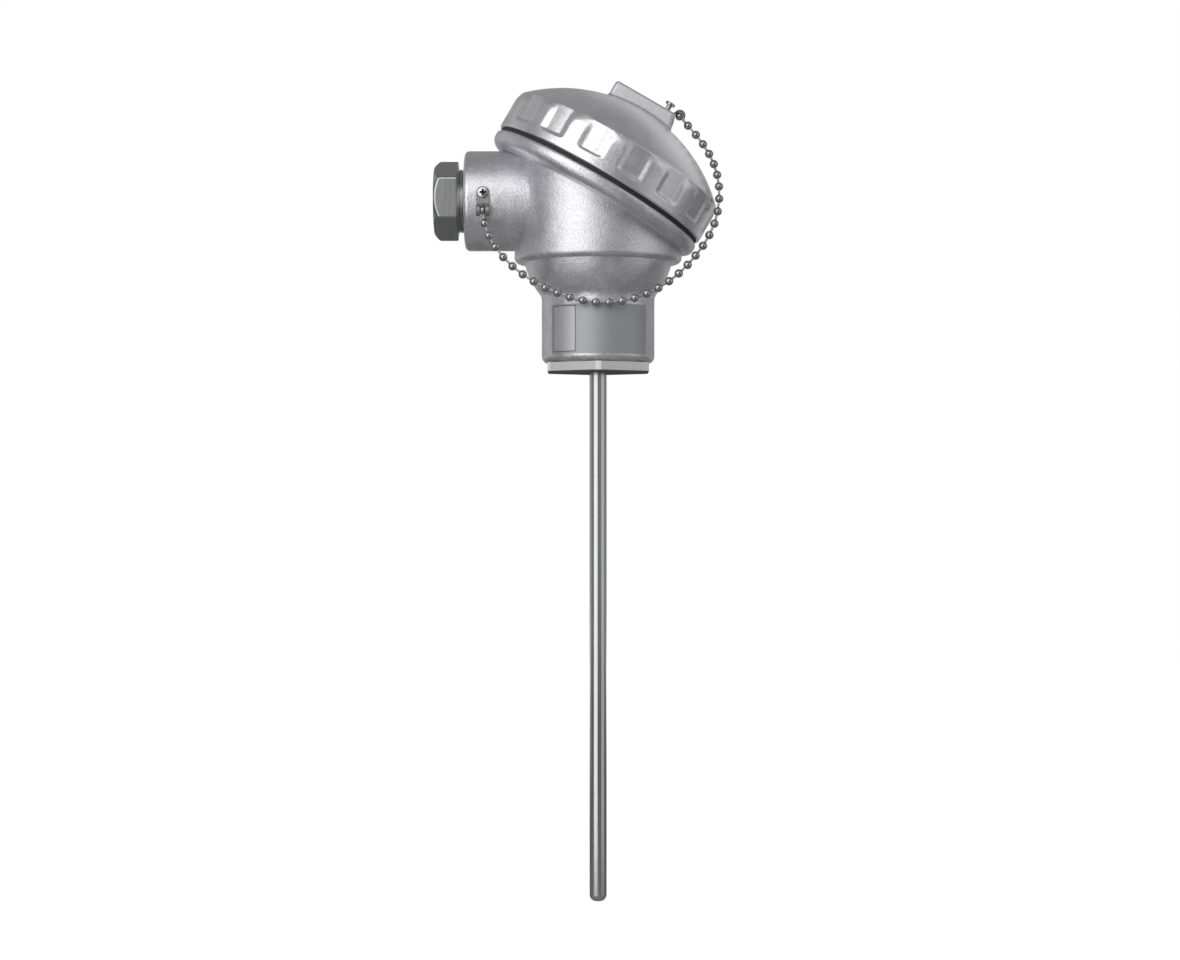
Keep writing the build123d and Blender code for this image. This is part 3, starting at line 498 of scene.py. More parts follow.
def make_cap_shell():
    """The profile turned about N. The ring's outer wall is drawn in by the relief where there
    is no land, and the skirt's inner wall carries a helical ripple for the thread."""
    profile = cap_profile()
    theta = np.linspace(0, 2 * math.pi, cap_columns, endpoint=False)[None, :]
    r = profile[:, 0:1] * np.ones_like(theta)
    n = profile[:, 1:2] * np.ones_like(theta)
    outer = (r > ring_radius - ring_relief) & (n < ring_top)
    land = ring_land(theta, n)
    rim = smooth_step(n, ring_bottom, ring_bottom + rim_round)
    r = np.where(outer, r - ring_relief * (1 - land) * rim, r)
    thread = 0.5 + 0.5 * np.cos(2 * math.pi * n / thread_pitch - theta)
    skirt = np.isclose(r, skirt_radius) & (n > skirt_thread[0]) & (n < skirt_thread[1])
    r = np.where(skirt, r - skirt_thread_depth * thread, r)
    points = in_cap_frame(r * np.sin(theta), -r * np.cos(theta), n)
    rows = len(profile)
    inner_crown = list(range(cap_columns))[::-1]
    outer_crown = [(rows - 1) * cap_columns + k for k in range(cap_columns)]
    return make_piece("cap_shell", points, grid_faces(rows, cap_columns), handled_aluminium,
                      "cap", caps=(inner_crown, outer_crown))


cap_shell = make_cap_shell()
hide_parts("screw_cap")


# Grip block on the cap: cast in one piece with the crown, for a bar or a big spanner. Its
# faces are ground flat and dull, its edges are eased, and a cast fillet runs round its foot.
grip_left = -13.6
grip_right = 12.1
grip_half_depth = 8.0
grip_top = 37.6
grip_flank = 1.8 / 12.2
grip_corner = 1.6
grip_fillet = 1.3
grip_edge = 1.2
grip_foot_level = 31.0
grip_sink = 0.05
grip_straight_share = 0.6
grip_fillet_steps = 6
grip_edge_steps = 5
grip_columns = 160
ground_aluminium = make_finish(
    "ground_aluminium", grained_skin, Grain_Cells=900.0, Cloud_Cells=170.0,
    Dark=(0.7, 0.695, 0.72, 1), Light=(0.82, 0.815, 0.845, 1),
    Smooth=0.5, Rough=0.58, Relief=0.3)


def grip_outline(offset, n):
    """The block's section at each height: a rectangle with round corners, grown by an offset.
    Its right side leans out towards the foot."""
    right = grip_right + grip_flank * np.maximum(grip_top - n, 0)
    corner = grip_corner + offset
    middle = (right + grip_left) / 2
    half_width = (right - grip_left) / 2 + offset - corner
    half_depth = grip_half_depth + offset - corner
    t = np.linspace(0, 4, grip_columns, endpoint=False)
    side = t.astype(int)
    along = np.clip((t - side) / grip_straight_share, 0, 1)
    turn = np.clip((t - side - grip_straight_share) / (1 - grip_straight_share), 0, 1)
    sign_u = np.array((1, -1, -1, 1))
    sign_v = np.array((1, 1, -1, -1))
    share_u = sign_u[side - 1] + (sign_u[side] - sign_u[side - 1]) * along
    share_v = sign_v[side - 1] + (sign_v[side] - sign_v[side - 1]) * along
    angle = (side + turn) * math.pi / 2
    return (middle + share_u * half_width + corner * np.cos(angle),
            share_v * half_depth + corner * np.sin(angle))


def make_cap_grip():
    """Sections stacked up the block: a concave fillet from the dome's surface, the wall and a
    rounded top edge, closed by one face over the top."""
    sections = []
    for a in np.linspace(0, math.pi / 2, grip_fillet_steps + 1):
        offset = grip_fillet * (1 - math.sin(a))
        u, v = grip_outline(offset, np.full(grip_columns, grip_foot_level))
        dome = dome_centre + np.sqrt(dome_radius ** 2 - u ** 2 - v ** 2)
        sections.append((u, v, dome - grip_sink + grip_fillet * (1 - math.cos(a))))
    foot = sections[-1][2]
    for share in (0.33, 0.66):
        n = foot + share * (grip_top - grip_edge - foot)
        sections.append((*grip_outline(0.0, n), n))
    for a in np.linspace(0, math.pi / 2, grip_edge_steps + 1):
        n = np.full(grip_columns, grip_top - grip_edge * (1 - math.sin(a)))
        sections.append((*grip_outline(-grip_edge * (1 - math.cos(a)), n), n))
    points = in_cap_frame(*np.array(sections).transpose(1, 0, 2))
    rows = len(sections)
    top = [(rows - 1) * grip_columns + k for k in range(grip_columns)]
    return make_piece("cap_grip_block", points, grid_faces(rows, grip_columns),
                      ground_aluminium, "cap", caps=(top,))


cap_grip = make_cap_grip()


# Stem: a drawn stainless tube, its tip closed and rounded, polished all over and welded into
# the hexagon plate.
streak_depth = 0.00002


def make_turned_skin():
    """Turned steel: fine streaks along the lines of a cut, as noise stretched round an axis,
    shift tone and roughness a little."""
    group, given, result = new_group(
        "turned_skin",
        [("Stretch", "Vector"), ("Dark", "Color"), ("Light", "Color"),
         ("Smooth", "Float"), ("Rough", "Float"), ("Relief", "Float")],
        [("Color", "Color"), ("Roughness", "Float"), ("Normal", "Vector")])
    place = group.nodes.new("ShaderNodeTexCoord").outputs["Object"]
    stretched = group.nodes.new("ShaderNodeVectorMath")
    stretched.operation = "MULTIPLY"
    join(group, place, stretched.inputs[0])
    join(group, given.outputs["Stretch"], stretched.inputs[1])
    streak = make_noise(group, stretched.outputs[0], 1.0, 3)
    colour = make_mix(group, make_range(group, streak, *noise_span, 0.0, 1.0),
                      given.outputs["Dark"], given.outputs["Light"])
    roughness = make_range(group, streak, *noise_span, given.outputs["Smooth"],
                           given.outputs["Rough"])
    bump = group.nodes.new("ShaderNodeBump")
    bump.inputs["Distance"].default_value = streak_depth
    join(group, given.outputs["Relief"], bump.inputs["Strength"])
    join(group, streak, bump.inputs["Height"])
    join(group, colour, result.inputs["Color"])
    join(group, roughness, result.inputs["Roughness"])
    join(group, bump.outputs["Normal"], result.inputs["Normal"])
    return group


turned_skin = make_turned_skin()
stem_steel = make_finish(
    "polished_stem_steel", turned_skin, Stretch=(2500.0, 2500.0, 30.0),
    Dark=(0.56, 0.56, 0.56, 1), Light=(0.64, 0.64, 0.64, 1),
    Smooth=0.13, Rough=0.2, Relief=0.08)
dress(stem_steel, "stem_tube")


# Hexagon plate: turned from hexagon bar, with a threaded spigot that a spanner drives into the
# neck. Its flats are satin; the bevel across its corners carries a painted highlight, pale and
# matt, and its underside, round the weld, carries painted shade, near black.
# Painted shade: the underside is coloured near black, rough and not metallic.
underside_shade_heights = (0.00005, 0.00025)
underside_shade_colour = (0.13, 0.13, 0.13, 1)
underside_shade_roughness = 0.95
# Painted highlight: the corners' bevel is coloured white and not metallic.
corner_highlight_radii = (0.02133, 0.02137)
corner_highlight_colour = (1.0, 1.0, 1.0, 1)


def make_plate_steel():
    """Satin bar steel with two masks: one is 1 at the underside's height and 0 above it, for
    the painted shade, and one is 0 up to the corners' bevel and 1 beyond that radius, for the
    painted highlight."""
    material, tree, output = new_material("satin_plate_steel")
    shader = tree.nodes.new("ShaderNodeBsdfPrincipled")
    skin = place_group(tree, turned_skin, Stretch=(900.0, 900.0, 5000.0),
                       Dark=(0.6, 0.6, 0.6, 1), Light=(0.68, 0.68, 0.68, 1),
                       Smooth=0.3, Rough=0.38, Relief=0.04)
    axes = tree.nodes.new("ShaderNodeSeparateXYZ")
    join(tree, tree.nodes.new("ShaderNodeTexCoord").outputs["Object"], axes.inputs[0])
    # Painted shade: near black at the underside's height.
    under = make_range(tree, axes.outputs["Z"], *underside_shade_heights, 1.0, 0.0)
    flat = tree.nodes.new("ShaderNodeCombineXYZ")
    join(tree, axes.outputs["X"], flat.inputs[0])
    join(tree, axes.outputs["Y"], flat.inputs[1])
    reach = tree.nodes.new("ShaderNodeVectorMath")
    reach.operation = "LENGTH"
    join(tree, flat.outputs[0], reach.inputs[0])
    # Painted highlight: white beyond the corners' bevel radius.
    corner = make_range(tree, reach.outputs["Value"], *corner_highlight_radii, 0.0, 1.0)
    bright = make_mix(tree, corner, skin.outputs["Color"], corner_highlight_colour)
    colour = make_mix(tree, under, bright, underside_shade_colour)
    join(tree, colour, shader.inputs["Base Color"])
    # Both painted marks, the shade and the highlight, are not metallic.
    dull = tree.nodes.new("ShaderNodeMath")
    dull.operation = "MAXIMUM"
    join(tree, under, dull.inputs[0])
    join(tree, corner, dull.inputs[1])
    join(tree, make_range(tree, dull.outputs[0], 0.0, 1.0, 1.0, 0.0), shader.inputs["Metallic"])
    join(tree, make_range(tree, under, 0.0, 1.0, skin.outputs["Roughness"], underside_shade_roughness),
         shader.inputs["Roughness"])
    join(tree, skin.outputs["Normal"], shader.inputs["Normal"])
    join(tree, shader.outputs[0], output.inputs["Surface"])
    return material


dress(make_plate_steel(), "hex_fitting")


# Gland screw: turned from hexagon bar, with a cone at its outer end that cuts the six flats
# in arcs, a wide bore for the cable and a fine thread on its sleeve. It presses a steel
# washer on the rubber that grips the cable.
gland_shoulder = -52.8
gland_height = 64.8
gland_flats_radius = 13.16
gland_hex_length = 8.9
gland_hex_radius = 15.2
gland_cone_length = 2.0
gland_cone_depth = 2.4
gland_sleeve_radius = 12.0
gland_sleeve_length = 9.8
gland_bore_radius = 6.5
gland_mouth = 1.0
gland_edge_blend = 0.9
gland_back_edge = 0.25
gland_back_length = 0.3
gland_face_edge = 0.3
gland_cone_start = 5.8
gland_thread_pitch = 1.2
gland_thread_depth = 0.35
gland_sleeve_rows = 66
gland_cone_rows = 30
gland_columns = 480
gland_steel = make_finish(
    "satin_gland_steel", turned_skin, Stretch=(1200.0, 90.0, 90.0),
    Dark=(0.37, 0.375, 0.37, 1), Light=(0.41, 0.415, 0.41, 1),
    Smooth=0.19, Rough=0.24, Relief=0.0)


def hexagon_radius(angle):
    """Distance from the axis to the side of a hexagon, a face's distance over the cosine of
    the angle from its middle, with the two nearest faces blended at a corner."""
    off = np.abs((angle + math.pi / 6) % (math.pi / 3) - math.pi / 6)
    near = gland_flats_radius / np.cos(off)
    far = gland_flats_radius / np.cos(math.pi / 3 - off)
    return smooth_min(near, far, gland_edge_blend)


def make_gland():
    """Rings along the gland's axis: out over the sleeve's end, along the threaded sleeve, out
    over the shoulder, along the hexagon, whose radius is the smaller of the flat's and the
    cone's, in over the outer face and back through the bore. The thread is a cosine of the
    place along the sleeve less the angle."""
    angle = np.linspace(0, 2 * math.pi, gland_columns, endpoint=False)[None, :]
    sleeve = np.linspace(-gland_sleeve_length, 0, gland_sleeve_rows)
    along = np.concatenate((np.linspace(0, 0.4, 5), np.linspace(0.9, 5.4, 8),
                            np.linspace(gland_cone_start, gland_hex_length, gland_cone_rows)))
    flats = hexagon_radius(angle)
    cone = gland_hex_radius - gland_cone_depth / gland_cone_length * (
        along[:, None] - (gland_hex_length - gland_cone_length))
    wall = smooth_min(flats, cone, gland_edge_blend)
    wall -= gland_back_edge * (1 - smooth_step(along[:, None], 0, gland_back_length))
    turn = np.ones_like(angle)
    ripple = 0.5 - 0.5 * np.cos(2 * math.pi * sleeve[:, None] / gland_thread_pitch - angle)
    radius = np.concatenate((
        gland_bore_radius * turn,
        gland_sleeve_radius - gland_thread_depth * ripple,
        wall,
        wall[-1:] - gland_face_edge,
        (gland_bore_radius + gland_mouth) * turn,
        gland_bore_radius * turn))
    place = np.concatenate(([-gland_sleeve_length], sleeve, along,
                            [gland_hex_length, gland_hex_length,
                             gland_hex_length - gland_mouth]))[:, None] * turn
    points = np.stack((gland_shoulder - place, -radius * np.cos(angle),
                       gland_height + radius * np.sin(angle)), axis=-1) * mm
    return make_piece("gland_body", points, grid_faces(len(radius), gland_columns, True),
                      gland_steel, "gland")


gland_body = make_gland()
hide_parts("gland_screw")
dress(gland_steel, "gland_washer")


# Bead chain: hollow balls of nickel-plated steel strung on short wire links, which keep the
# unscrewed cap from falling.
bead_steel = make_finish(
    "bright_bead_steel", turned_skin, Stretch=(900.0, 900.0, 900.0),
    Dark=(0.38, 0.38, 0.375, 1), Light=(0.48, 0.48, 0.475, 1),
    Smooth=0.08, Rough=0.13, Relief=0.02)
link_steel = make_finish(
    "drawn_link_steel", turned_skin, Stretch=(1500.0, 1500.0, 1500.0),
    Dark=(0.46, 0.46, 0.455, 1), Light=(0.56, 0.56, 0.555, 1),
    Smooth=0.3, Rough=0.4, Relief=0.05)
dress(bead_steel, *(name for name in nodes if name.startswith("chain_beads")))
dress(link_steel, *(name for name in nodes if name.startswith("chain_links")))


# Clip on the boss: stamped from strip steel, with a round-ended tab under its screw, a narrow
# tongue, and a roll slotted in the middle, in which the first bead sits. Places on it are in
# millimetres, OUT from the boss's middle, ACROSS to the right and ALONG upwards.
clip_half_width = 2.45
clip_thickness = 0.45
clip_slot = 1.0
clip_tongue = 0.7
clip_edge_ease = 0.08
roll_radius = 1.97
clip_steel = make_finish(
    "stamped_clip_steel", turned_skin, Stretch=(1800.0, 1800.0, 300.0),
    Dark=(0.3, 0.3, 0.3, 1), Light=(0.38, 0.38, 0.38, 1),
    Smooth=0.44, Rough=0.54, Relief=0.05)
boss_clip_distance = 42.7
tab_out = 19.045
tab_end = 68.1
tab_foot = 61.65
tab_end_steps = 12
tongue_foot = 60.6
lower_roll = (20.32, 59.0)


def on_boss(out, across, along):
    """Places before the boss: OUT is against Y, ACROSS along X from the clip's middle and
    ALONG up Z."""
    return np.stack((across - boss_clip_distance, -out, along), axis=-1) * mm


def make_strip(path, low, high, place):
    """A closed strip of sheet: its section, a rectangle with eased corners between two widths,
    stands square to a path of (out, along) places. Low and high may change on the way. It is
    given as its places, its quads and the corners of its two ends."""
    path = np.array(path)
    ahead = np.gradient(path, axis=0)
    ahead /= np.linalg.norm(ahead, axis=1)[:, None]
    normal = np.stack((ahead[:, 1], -ahead[:, 0]), axis=-1)
    half, ease = clip_thickness / 2, clip_edge_ease
    low = low * np.ones(len(path))
    high = high * np.ones(len(path))
    across = np.stack((low, low + ease, high - ease, high, high, high - ease, low + ease, low),
                      axis=-1)
    off = np.array((half - ease, half, half, half - ease, ease - half, -half, -half,
                    ease - half))
    out = path[:, 0:1] + normal[:, 0:1] * off
    along = path[:, 1:2] + normal[:, 1:2] * off
    points = place(out, across, along).reshape(-1, 3)
    corners = len(off)
    first = np.arange(corners)
    last = (len(path) - 1) * corners + first
    return points, grid_faces(len(path), corners), (first[::-1], last)


def join_strips(name, strips, body):
    """One clip from several strips that meet."""
    points, quads, ends, count = [], [], [], 0
    for strip_points, strip_quads, strip_ends in strips:
        points.append(strip_points)
        quads.append(strip_quads + count)
        ends += [(end + count).tolist() for end in strip_ends]
        count += len(strip_points)
    clip = make_piece(name, np.concatenate(points), np.concatenate(quads), clip_steel, body,
                      caps=ends)
    return clip


def roll(centre, start, end, count):
    """Places on the roll between two angles in degrees, from OUT towards ALONG."""
    return arc(*centre, roll_radius, start, end, count).tolist()


tab_turn = np.linspace(0.05, math.pi / 2, tab_end_steps)
tab_heights = np.concatenate((tab_end - clip_half_width * (1 - np.cos(tab_turn)),
                              (64.0, 62.5, tab_foot)))
tab_width = clip_half_width * np.concatenate((np.sin(tab_turn), np.ones(3)))
tab_path = [(tab_out, height) for height in tab_heights]
tongue_path = [(tab_out, height) for height in (tab_foot + 0.2, 61.1, tongue_foot)]
lower_clip = join_strips("chain_clip_strip_lower", (
    make_strip(tab_path, -tab_width, tab_width, on_boss),
    make_strip(tongue_path + roll(lower_roll, 130, 100, 5), -clip_tongue, clip_tongue, on_boss),
    make_strip(roll(lower_roll, 102, 64, 6), -clip_half_width, clip_half_width, on_boss),
    make_strip(roll(lower_roll, 66, -130, 26), -clip_half_width, -clip_slot, on_boss),
    make_strip(roll(lower_roll, 66, -130, 26), clip_slot, clip_half_width, on_boss)), "head")
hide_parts("chain_clip_lower")


# Clip on the grip block: the same strip steel, laid along the block's top under its screw and
# rolled over the block's edge round the last bead, with the same slot.
grip_strip_out = 37.845
grip_strip_path = [(grip_strip_out, u) for u in (4.6, 6.0, 8.0, 10.0)] + [(38.3, 11.0)]
upper_roll = (38.6, 13.3)


def on_grip(out, across, along):
    """Places over the grip block: OUT along the cap's axis, ALONG down its slope."""
    return in_cap_frame(along, across, out)


upper_clip = join_strips("chain_clip_strip_upper", (
    make_strip(grip_strip_path + roll(upper_roll, 270, 300, 4)[1:],
               -clip_half_width, clip_half_width, on_grip),
    make_strip(roll(upper_roll, 298, 450, 20), -clip_half_width, -clip_slot, on_grip),
    make_strip(roll(upper_roll, 298, 450, 20), clip_slot, clip_half_width, on_grip)), "cap")
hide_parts("chain_clip_upper")


# Screws: small pan-head screws of plated steel with a cross recess hold the two clips. The
# lower one is driven home, and its cross and its shank under the head carry painted shade, near
# black. The upper one stands proud of its clip. The transmitter's, its clamps' and the earthing
# screw are of the same steel.
screw_head_radius = 1.95
screw_head_height = 1.2
screw_crown_drop = 0.245
screw_edge_drop = 0.35
screw_edge_width = 0.25
screw_crown_rings = 34
screw_edge_rings = 6
screw_shank_radius = 1.0
screw_columns = 96
cross_reach = 1.15
cross_half_width = 0.36
cross_depth = 1.05
cross_flank = (-0.12, 0.06)
# Painted shade: the lower screw's cross and its shank are coloured near black and not metallic.
recess_shade_height = 0.6
recess_shade_blend = 0.0001
recess_shade_colour = (0.03, 0.03, 0.03, 1)
recess_shade_roughness = 0.9
lower_screw_seat = 19.29
lower_screw_along = 65.7
lower_screw_length = 4.5
upper_screw_seat = 40.45
upper_screw_along = 8.0
upper_screw_length = 5.4
screw_steel = make_finish(
    "plated_screw_steel", turned_skin, Stretch=(1400.0, 1400.0, 1400.0),
    Dark=(0.38, 0.38, 0.38, 1), Light=(0.52, 0.52, 0.52, 1),
    Smooth=0.2, Rough=0.3, Relief=0.08)
dress(screw_steel, "transmitter_screws", "terminal_screws", "ground_screw", "ground_washer")


def make_shaded_recess_steel(name, recess):
    """Plated steel of a screw that points against Y. A mask is 0 before a place along Y and 1
    behind it, so in the cross and under the head, where the steel carries painted shade, near
    black."""
    material, tree, output = new_material(name)
    shader = tree.nodes.new("ShaderNodeBsdfPrincipled")
    skin = place_group(tree, turned_skin, Stretch=(1400.0, 1400.0, 1400.0),
                       Dark=(0.6, 0.6, 0.6, 1), Light=(0.74, 0.74, 0.74, 1),
                       Smooth=0.2, Rough=0.3, Relief=0.04)
    axes = tree.nodes.new("ShaderNodeSeparateXYZ")
    join(tree, tree.nodes.new("ShaderNodeTexCoord").outputs["Object"], axes.inputs[0])
    # Painted shade in the cross and under the head.
    painted_shade = make_range(tree, axes.outputs["Y"], recess - recess_shade_blend, recess + recess_shade_blend,
                      0.0, 1.0)
    join(tree, make_mix(tree, painted_shade, skin.outputs["Color"], recess_shade_colour),
         shader.inputs["Base Color"])
    join(tree, make_range(tree, painted_shade, 0.0, 1.0, 1.0, 0.0), shader.inputs["Metallic"])
    join(tree, make_range(tree, painted_shade, 0.0, 1.0, skin.outputs["Roughness"], recess_shade_roughness),
         shader.inputs["Roughness"])
    join(tree, skin.outputs["Normal"], shader.inputs["Normal"])
    join(tree, shader.outputs[0], output.inputs["Surface"])
    return material


def make_pan_screw(name, seat, along, length, place, body, finish):
    """Rings out from the middle of a pan head and down its shank. The head is a dome whose
    height falls with the square of the radius, then with a square again over its round edge,
    and an S-curve of the distance to a cross of two bars sinks the recess."""
    inner = screw_head_radius - screw_edge_width
    crown = np.linspace(0, 1, screw_crown_rings)
    edge = np.linspace(0.1, 1, screw_edge_rings)
    bend = np.linspace(0.2, 1.57, screw_edge_rings)
    r = np.concatenate((np.linspace(0.02, inner, screw_crown_rings),
                        screw_head_radius - screw_edge_width * (1 - np.sin(bend))))
    drop = np.concatenate((screw_crown_drop * crown ** 2,
                           screw_crown_drop + screw_edge_drop * edge ** 2))[:, None]
    angle = np.linspace(0, 2 * math.pi, screw_columns, endpoint=False)[None, :]
    x, y = r[:, None] * np.cos(angle), r[:, None] * np.sin(angle)
    arm_a = np.maximum(np.abs(x) - cross_reach, np.abs(y) - cross_half_width)
    arm_b = np.maximum(np.abs(y) - cross_reach, np.abs(x) - cross_half_width)
    sunk = 1 - smooth_step(np.minimum(arm_a, arm_b), *cross_flank)
    top = screw_head_height * (1 - drop) - cross_depth * sunk
    ends = ((screw_head_radius, 0.0), (screw_shank_radius, 0.0), (screw_shank_radius, -length))
    for radius, height in ends:
        x = np.concatenate((x, radius * np.cos(angle)))
        y = np.concatenate((y, radius * np.sin(angle)))
        top = np.concatenate((top, np.full_like(angle, height)))
    points = place(seat + top, y, along + x)
    rows = len(top)
    middle = list(range(screw_columns))
    tip = [(rows - 1) * screw_columns + k for k in range(screw_columns)][::-1]
    screw = make_piece(name, points, grid_faces(rows, screw_columns)[:, ::-1], finish, body,
                       caps=(middle, tip))
    return screw


lower_finish = make_shaded_recess_steel("recessed_screw_steel", -(lower_screw_seat + recess_shade_height) * mm)
lower_screw = make_pan_screw("clip_pan_screw_lower", lower_screw_seat, lower_screw_along,
                             lower_screw_length, on_boss, "head", lower_finish)
upper_screw = make_pan_screw("clip_pan_screw_upper", upper_screw_seat, upper_screw_along,
                             upper_screw_length, on_grip, "cap", screw_steel)
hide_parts("clip_screw_lower")
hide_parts("clip_screw_upper")


# Rubber: the flat ring under the cap and the sleeve that grips the cable are moulded black
# rubber, matt, with a faint grey bloom.
rubber = make_finish(
    "moulded_black_rubber", grained_skin, 0.0, Grain_Cells=900.0, Cloud_Cells=120.0,
    Dark=(0.012, 0.012, 0.012, 1), Light=(0.035, 0.035, 0.036, 1),
    Smooth=0.55, Rough=0.75, Relief=0.4)
dress(rubber, "cap_gasket", "gland_seal")


# Transmitter: a puck of moulded dark plastic on two screws, with five plated brass clamps
# that hold the bare ends of the sensor's wires.
case_plastic = make_finish(
    "moulded_case_plastic", grained_skin, 0.0, Grain_Cells=2600.0, Cloud_Cells=90.0,
    Dark=(0.02, 0.024, 0.03, 1), Light=(0.05, 0.056, 0.065, 1),
    Smooth=0.35, Rough=0.5, Relief=0.5)
terminal_brass = make_finish(
    "plated_terminal_brass", turned_skin, Stretch=(1600.0, 300.0, 1600.0),
    Dark=(0.55, 0.46, 0.30, 1), Light=(0.72, 0.64, 0.46, 1),
    Smooth=0.22, Rough=0.34, Relief=0.08)
dress(case_plastic, "transmitter_case")
dress(terminal_brass, "transmitter_terminals")


# Measuring insert: a ceramic element bedded in white heat paste at the tip, its wires in a
# braided glass sleeve up the stem, and a plug of cast resin where they leave the tube.
element_ceramic = make_finish(
    "fired_ceramic", grained_skin, 0.0, Grain_Cells=3500.0, Cloud_Cells=500.0,
    Dark=(0.62, 0.58, 0.5, 1), Light=(0.8, 0.77, 0.7, 1),
    Smooth=0.4, Rough=0.6, Relief=0.3)
heat_paste = make_finish(
    "white_heat_paste", grained_skin, 0.0, Grain_Cells=1200.0, Cloud_Cells=300.0,
    Dark=(0.66, 0.66, 0.64, 1), Light=(0.82, 0.82, 0.8, 1),
    Smooth=0.5, Rough=0.8, Relief=0.6)
glass_braid = make_finish(
    "glass_fibre_braid", turned_skin, 0.0, Stretch=(2500.0, 2500.0, 900.0),
    Dark=(0.5, 0.5, 0.46, 1), Light=(0.85, 0.85, 0.8, 1),
    Smooth=0.6, Rough=0.85, Relief=1.0)
wire_skin = make_finish(
    "wire_insulation", grained_skin, 0.0, Grain_Cells=1500.0, Cloud_Cells=220.0,
    Dark=(0.42, 0.05, 0.04, 1), Light=(0.58, 0.09, 0.07, 1),
    Smooth=0.32, Rough=0.45, Relief=0.15)
plug_resin = make_finish(
    "cast_plug_resin", grained_skin, 0.0, Grain_Cells=600.0, Cloud_Cells=180.0,
    Dark=(0.05, 0.035, 0.025, 1), Light=(0.12, 0.085, 0.06, 1),
    Smooth=0.12, Rough=0.3, Relief=0.2)
dress(element_ceramic, "sensing_element")
dress(heat_paste, "tip_fill")
dress(glass_braid, "lead_sleeve")
dress(wire_skin, "element_leads")
dress(plug_resin, "stem_plug")


# Name plate: a thin foil of matt silver aluminium wrapped round the neck's front and stuck
# down. It is bare, with a panel in a thin printed frame at its left end and an empty field
# beside it. Angles are from the neck's front to the right, in degrees.
plate_radius = 21.3
plate_angles = (-54.0, 56.0)
plate_heights = (6.2, 24.6)
plate_stand = 0.12
plate_corner = 0.8
panel_angles = (-51.0, -23.0)
panel_heights = (6.9, 24.1)
panel_stand = 0.15
panel_corner = 0.3
frame_line = 0.3
frame_stand = 0.19
foil_edge = 0.04
foil_sink = 0.1
foil_columns = 60
foil_corner_steps = 7


def make_wrapped_foil(name, angles, heights, stand, corner, material):
    """A closed foil round the neck. At each angle its section is a flat ring of eight points
    between a lower and an upper edge, and those edges draw in near the ends along a quarter
    circle, which rounds the corners."""
    low, high = np.radians(angles)
    ends = corner / plate_radius * (1 - np.cos(np.linspace(0, math.pi / 2,
                                                           foil_corner_steps)))
    between = np.linspace(low + ends[-1], high - ends[-1], foil_columns)[1:-1]
    angle = np.concatenate((low + ends, between, (high - ends)[::-1]))
    end = np.minimum(np.minimum(angle - low, high - angle) * plate_radius, corner)
    inset = corner - np.sqrt(np.maximum(corner ** 2 - (corner - end) ** 2, 0))
    bottom, top = heights[0] + inset, heights[1] - inset
    middle = (bottom + top) / 2
    wall = stand - foil_edge
    z = np.stack((bottom, bottom, bottom + foil_edge, middle, top - foil_edge, top, top,
                  middle), axis=-1)
    out = np.array((-foil_sink, wall, stand, stand, stand, wall, -foil_sink, -foil_sink))
    r = (plate_radius + out)[None, :]
    points = np.stack((r * np.sin(angle)[:, None], -r * np.cos(angle)[:, None], z),
                      axis=-1) * mm
    columns = len(out)
    first = list(range(columns))[::-1]
    last = [(len(angle) - 1) * columns + k for k in range(columns)]
    return make_piece(name, points, grid_faces(len(angle), columns)[:, ::-1], material,
                      "head", caps=(first, last))


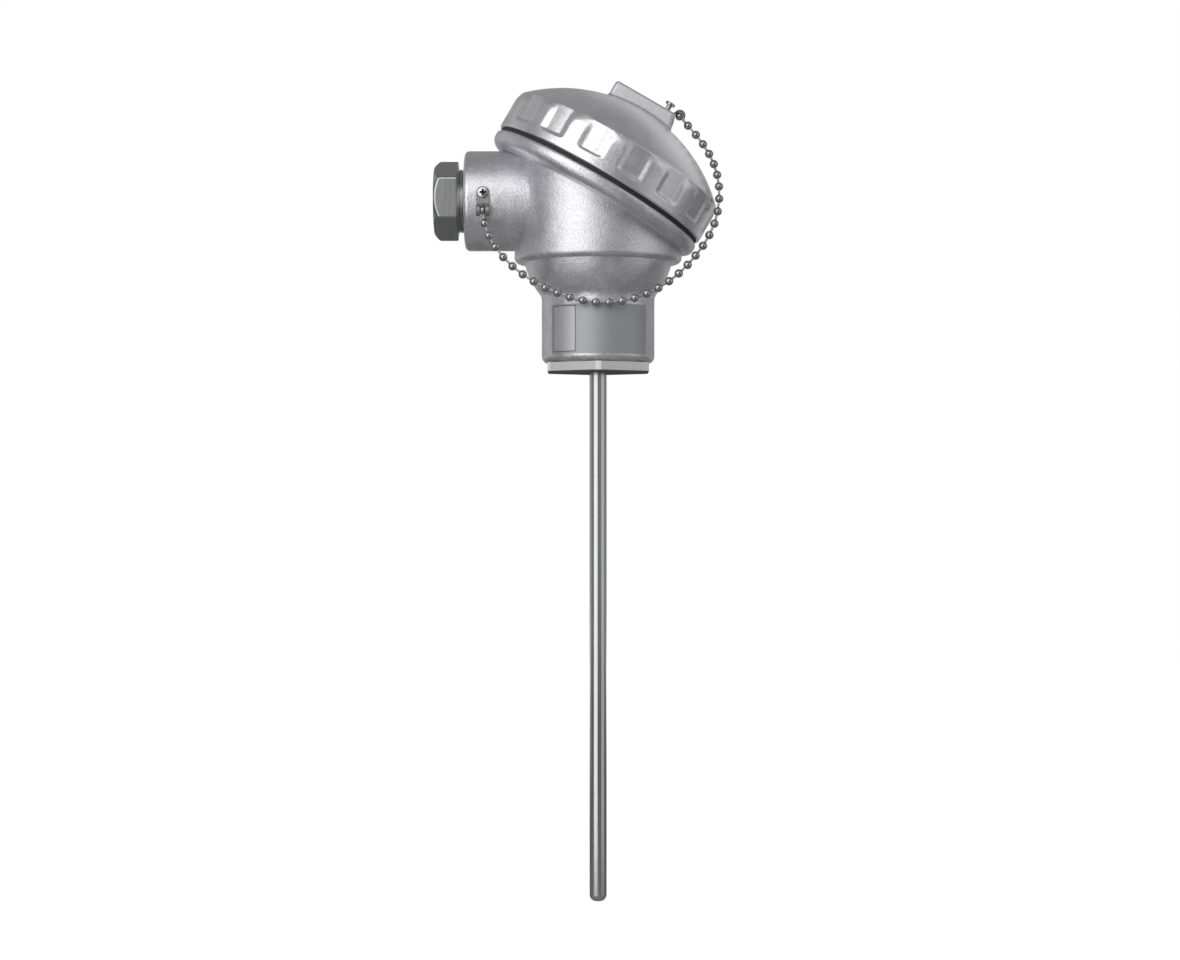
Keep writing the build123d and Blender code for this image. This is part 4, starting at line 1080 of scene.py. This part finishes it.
foil_silver = make_finish(
    "matt_silver_foil", turned_skin, Stretch=(90.0, 90.0, 5200.0),
    Dark=(0.47, 0.475, 0.5, 1), Light=(0.53, 0.535, 0.56, 1),
    Smooth=0.56, Rough=0.64, Relief=0.05)
panel_silver = make_finish(
    "panel_foil", turned_skin, Stretch=(90.0, 90.0, 5200.0),
    Dark=(0.56, 0.56, 0.57, 1), Light=(0.62, 0.62, 0.63, 1),
    Smooth=0.5, Rough=0.58, Relief=0.05)
frame_ink = make_finish(
    "frame_line_ink", grained_skin, 0.6, Grain_Cells=2500.0, Cloud_Cells=400.0,
    Dark=(0.1, 0.1, 0.105, 1), Light=(0.17, 0.17, 0.175, 1),
    Smooth=0.4, Rough=0.55, Relief=0.1)
name_plate = make_wrapped_foil("name_plate", plate_angles, plate_heights, plate_stand,
                               plate_corner, foil_silver)
plate_frame = make_wrapped_foil("name_plate_frame", panel_angles, panel_heights, panel_stand,
                                panel_corner, frame_ink)
line_angle = math.degrees(frame_line / plate_radius)
plate_panel = make_wrapped_foil(
    "name_plate_panel", (panel_angles[0] + line_angle, panel_angles[1] - line_angle),
    (panel_heights[0] + frame_line, panel_heights[1] - frame_line), frame_stand,
    panel_corner, panel_silver)


# Collar thread: the cap's thread, turned on the head's collar in the casting's own aluminium.
# It is a low round ridge wound on the collar, under the cap until the cap is unscrewed.
collar_radius = 38.0
collar_thread_span = (0.6, 6.6)
collar_ridge = 0.1
ridge_sink = 0.03
ridge_foot = 0.6
ridge_width_share = 0.8
ridge_fade_turns = 0.6
ridge_steps_a_turn = 120


def make_collar_thread():
    """A ridge wound round the collar. Its section is a cosine hump over its width, closed by
    one point in the metal. It rises by the pitch in each turn and fades in and out along an
    S-curve at its ends."""
    start, end = collar_thread_span
    turns = (end - start) / thread_pitch
    t = np.linspace(0, turns, int(turns * ridge_steps_a_turn) + 1)
    fade = smooth_step(np.minimum(t, turns - t), 0, ridge_fade_turns)
    across = np.linspace(-0.5, 0.5, 7)
    hump = np.concatenate((0.5 + 0.5 * np.cos(2 * math.pi * across), [-ridge_foot]))
    across = np.concatenate((across, [0.0]))
    angle = 2 * math.pi * t[:, None]
    r = collar_radius - ridge_sink + collar_ridge * hump[None, :] * fade[:, None]
    n = start + thread_pitch * (t[:, None] + ridge_width_share * across[None, :])
    points = in_cap_frame(r * np.sin(angle), -r * np.cos(angle), n)
    columns = len(hump)
    first = list(range(columns))[::-1]
    last = [(len(t) - 1) * columns + k for k in range(columns)]
    return make_piece("collar_thread", points, grid_faces(len(t), columns), cast_aluminium,
                      "head", caps=(first, last))


collar_thread = make_collar_thread()
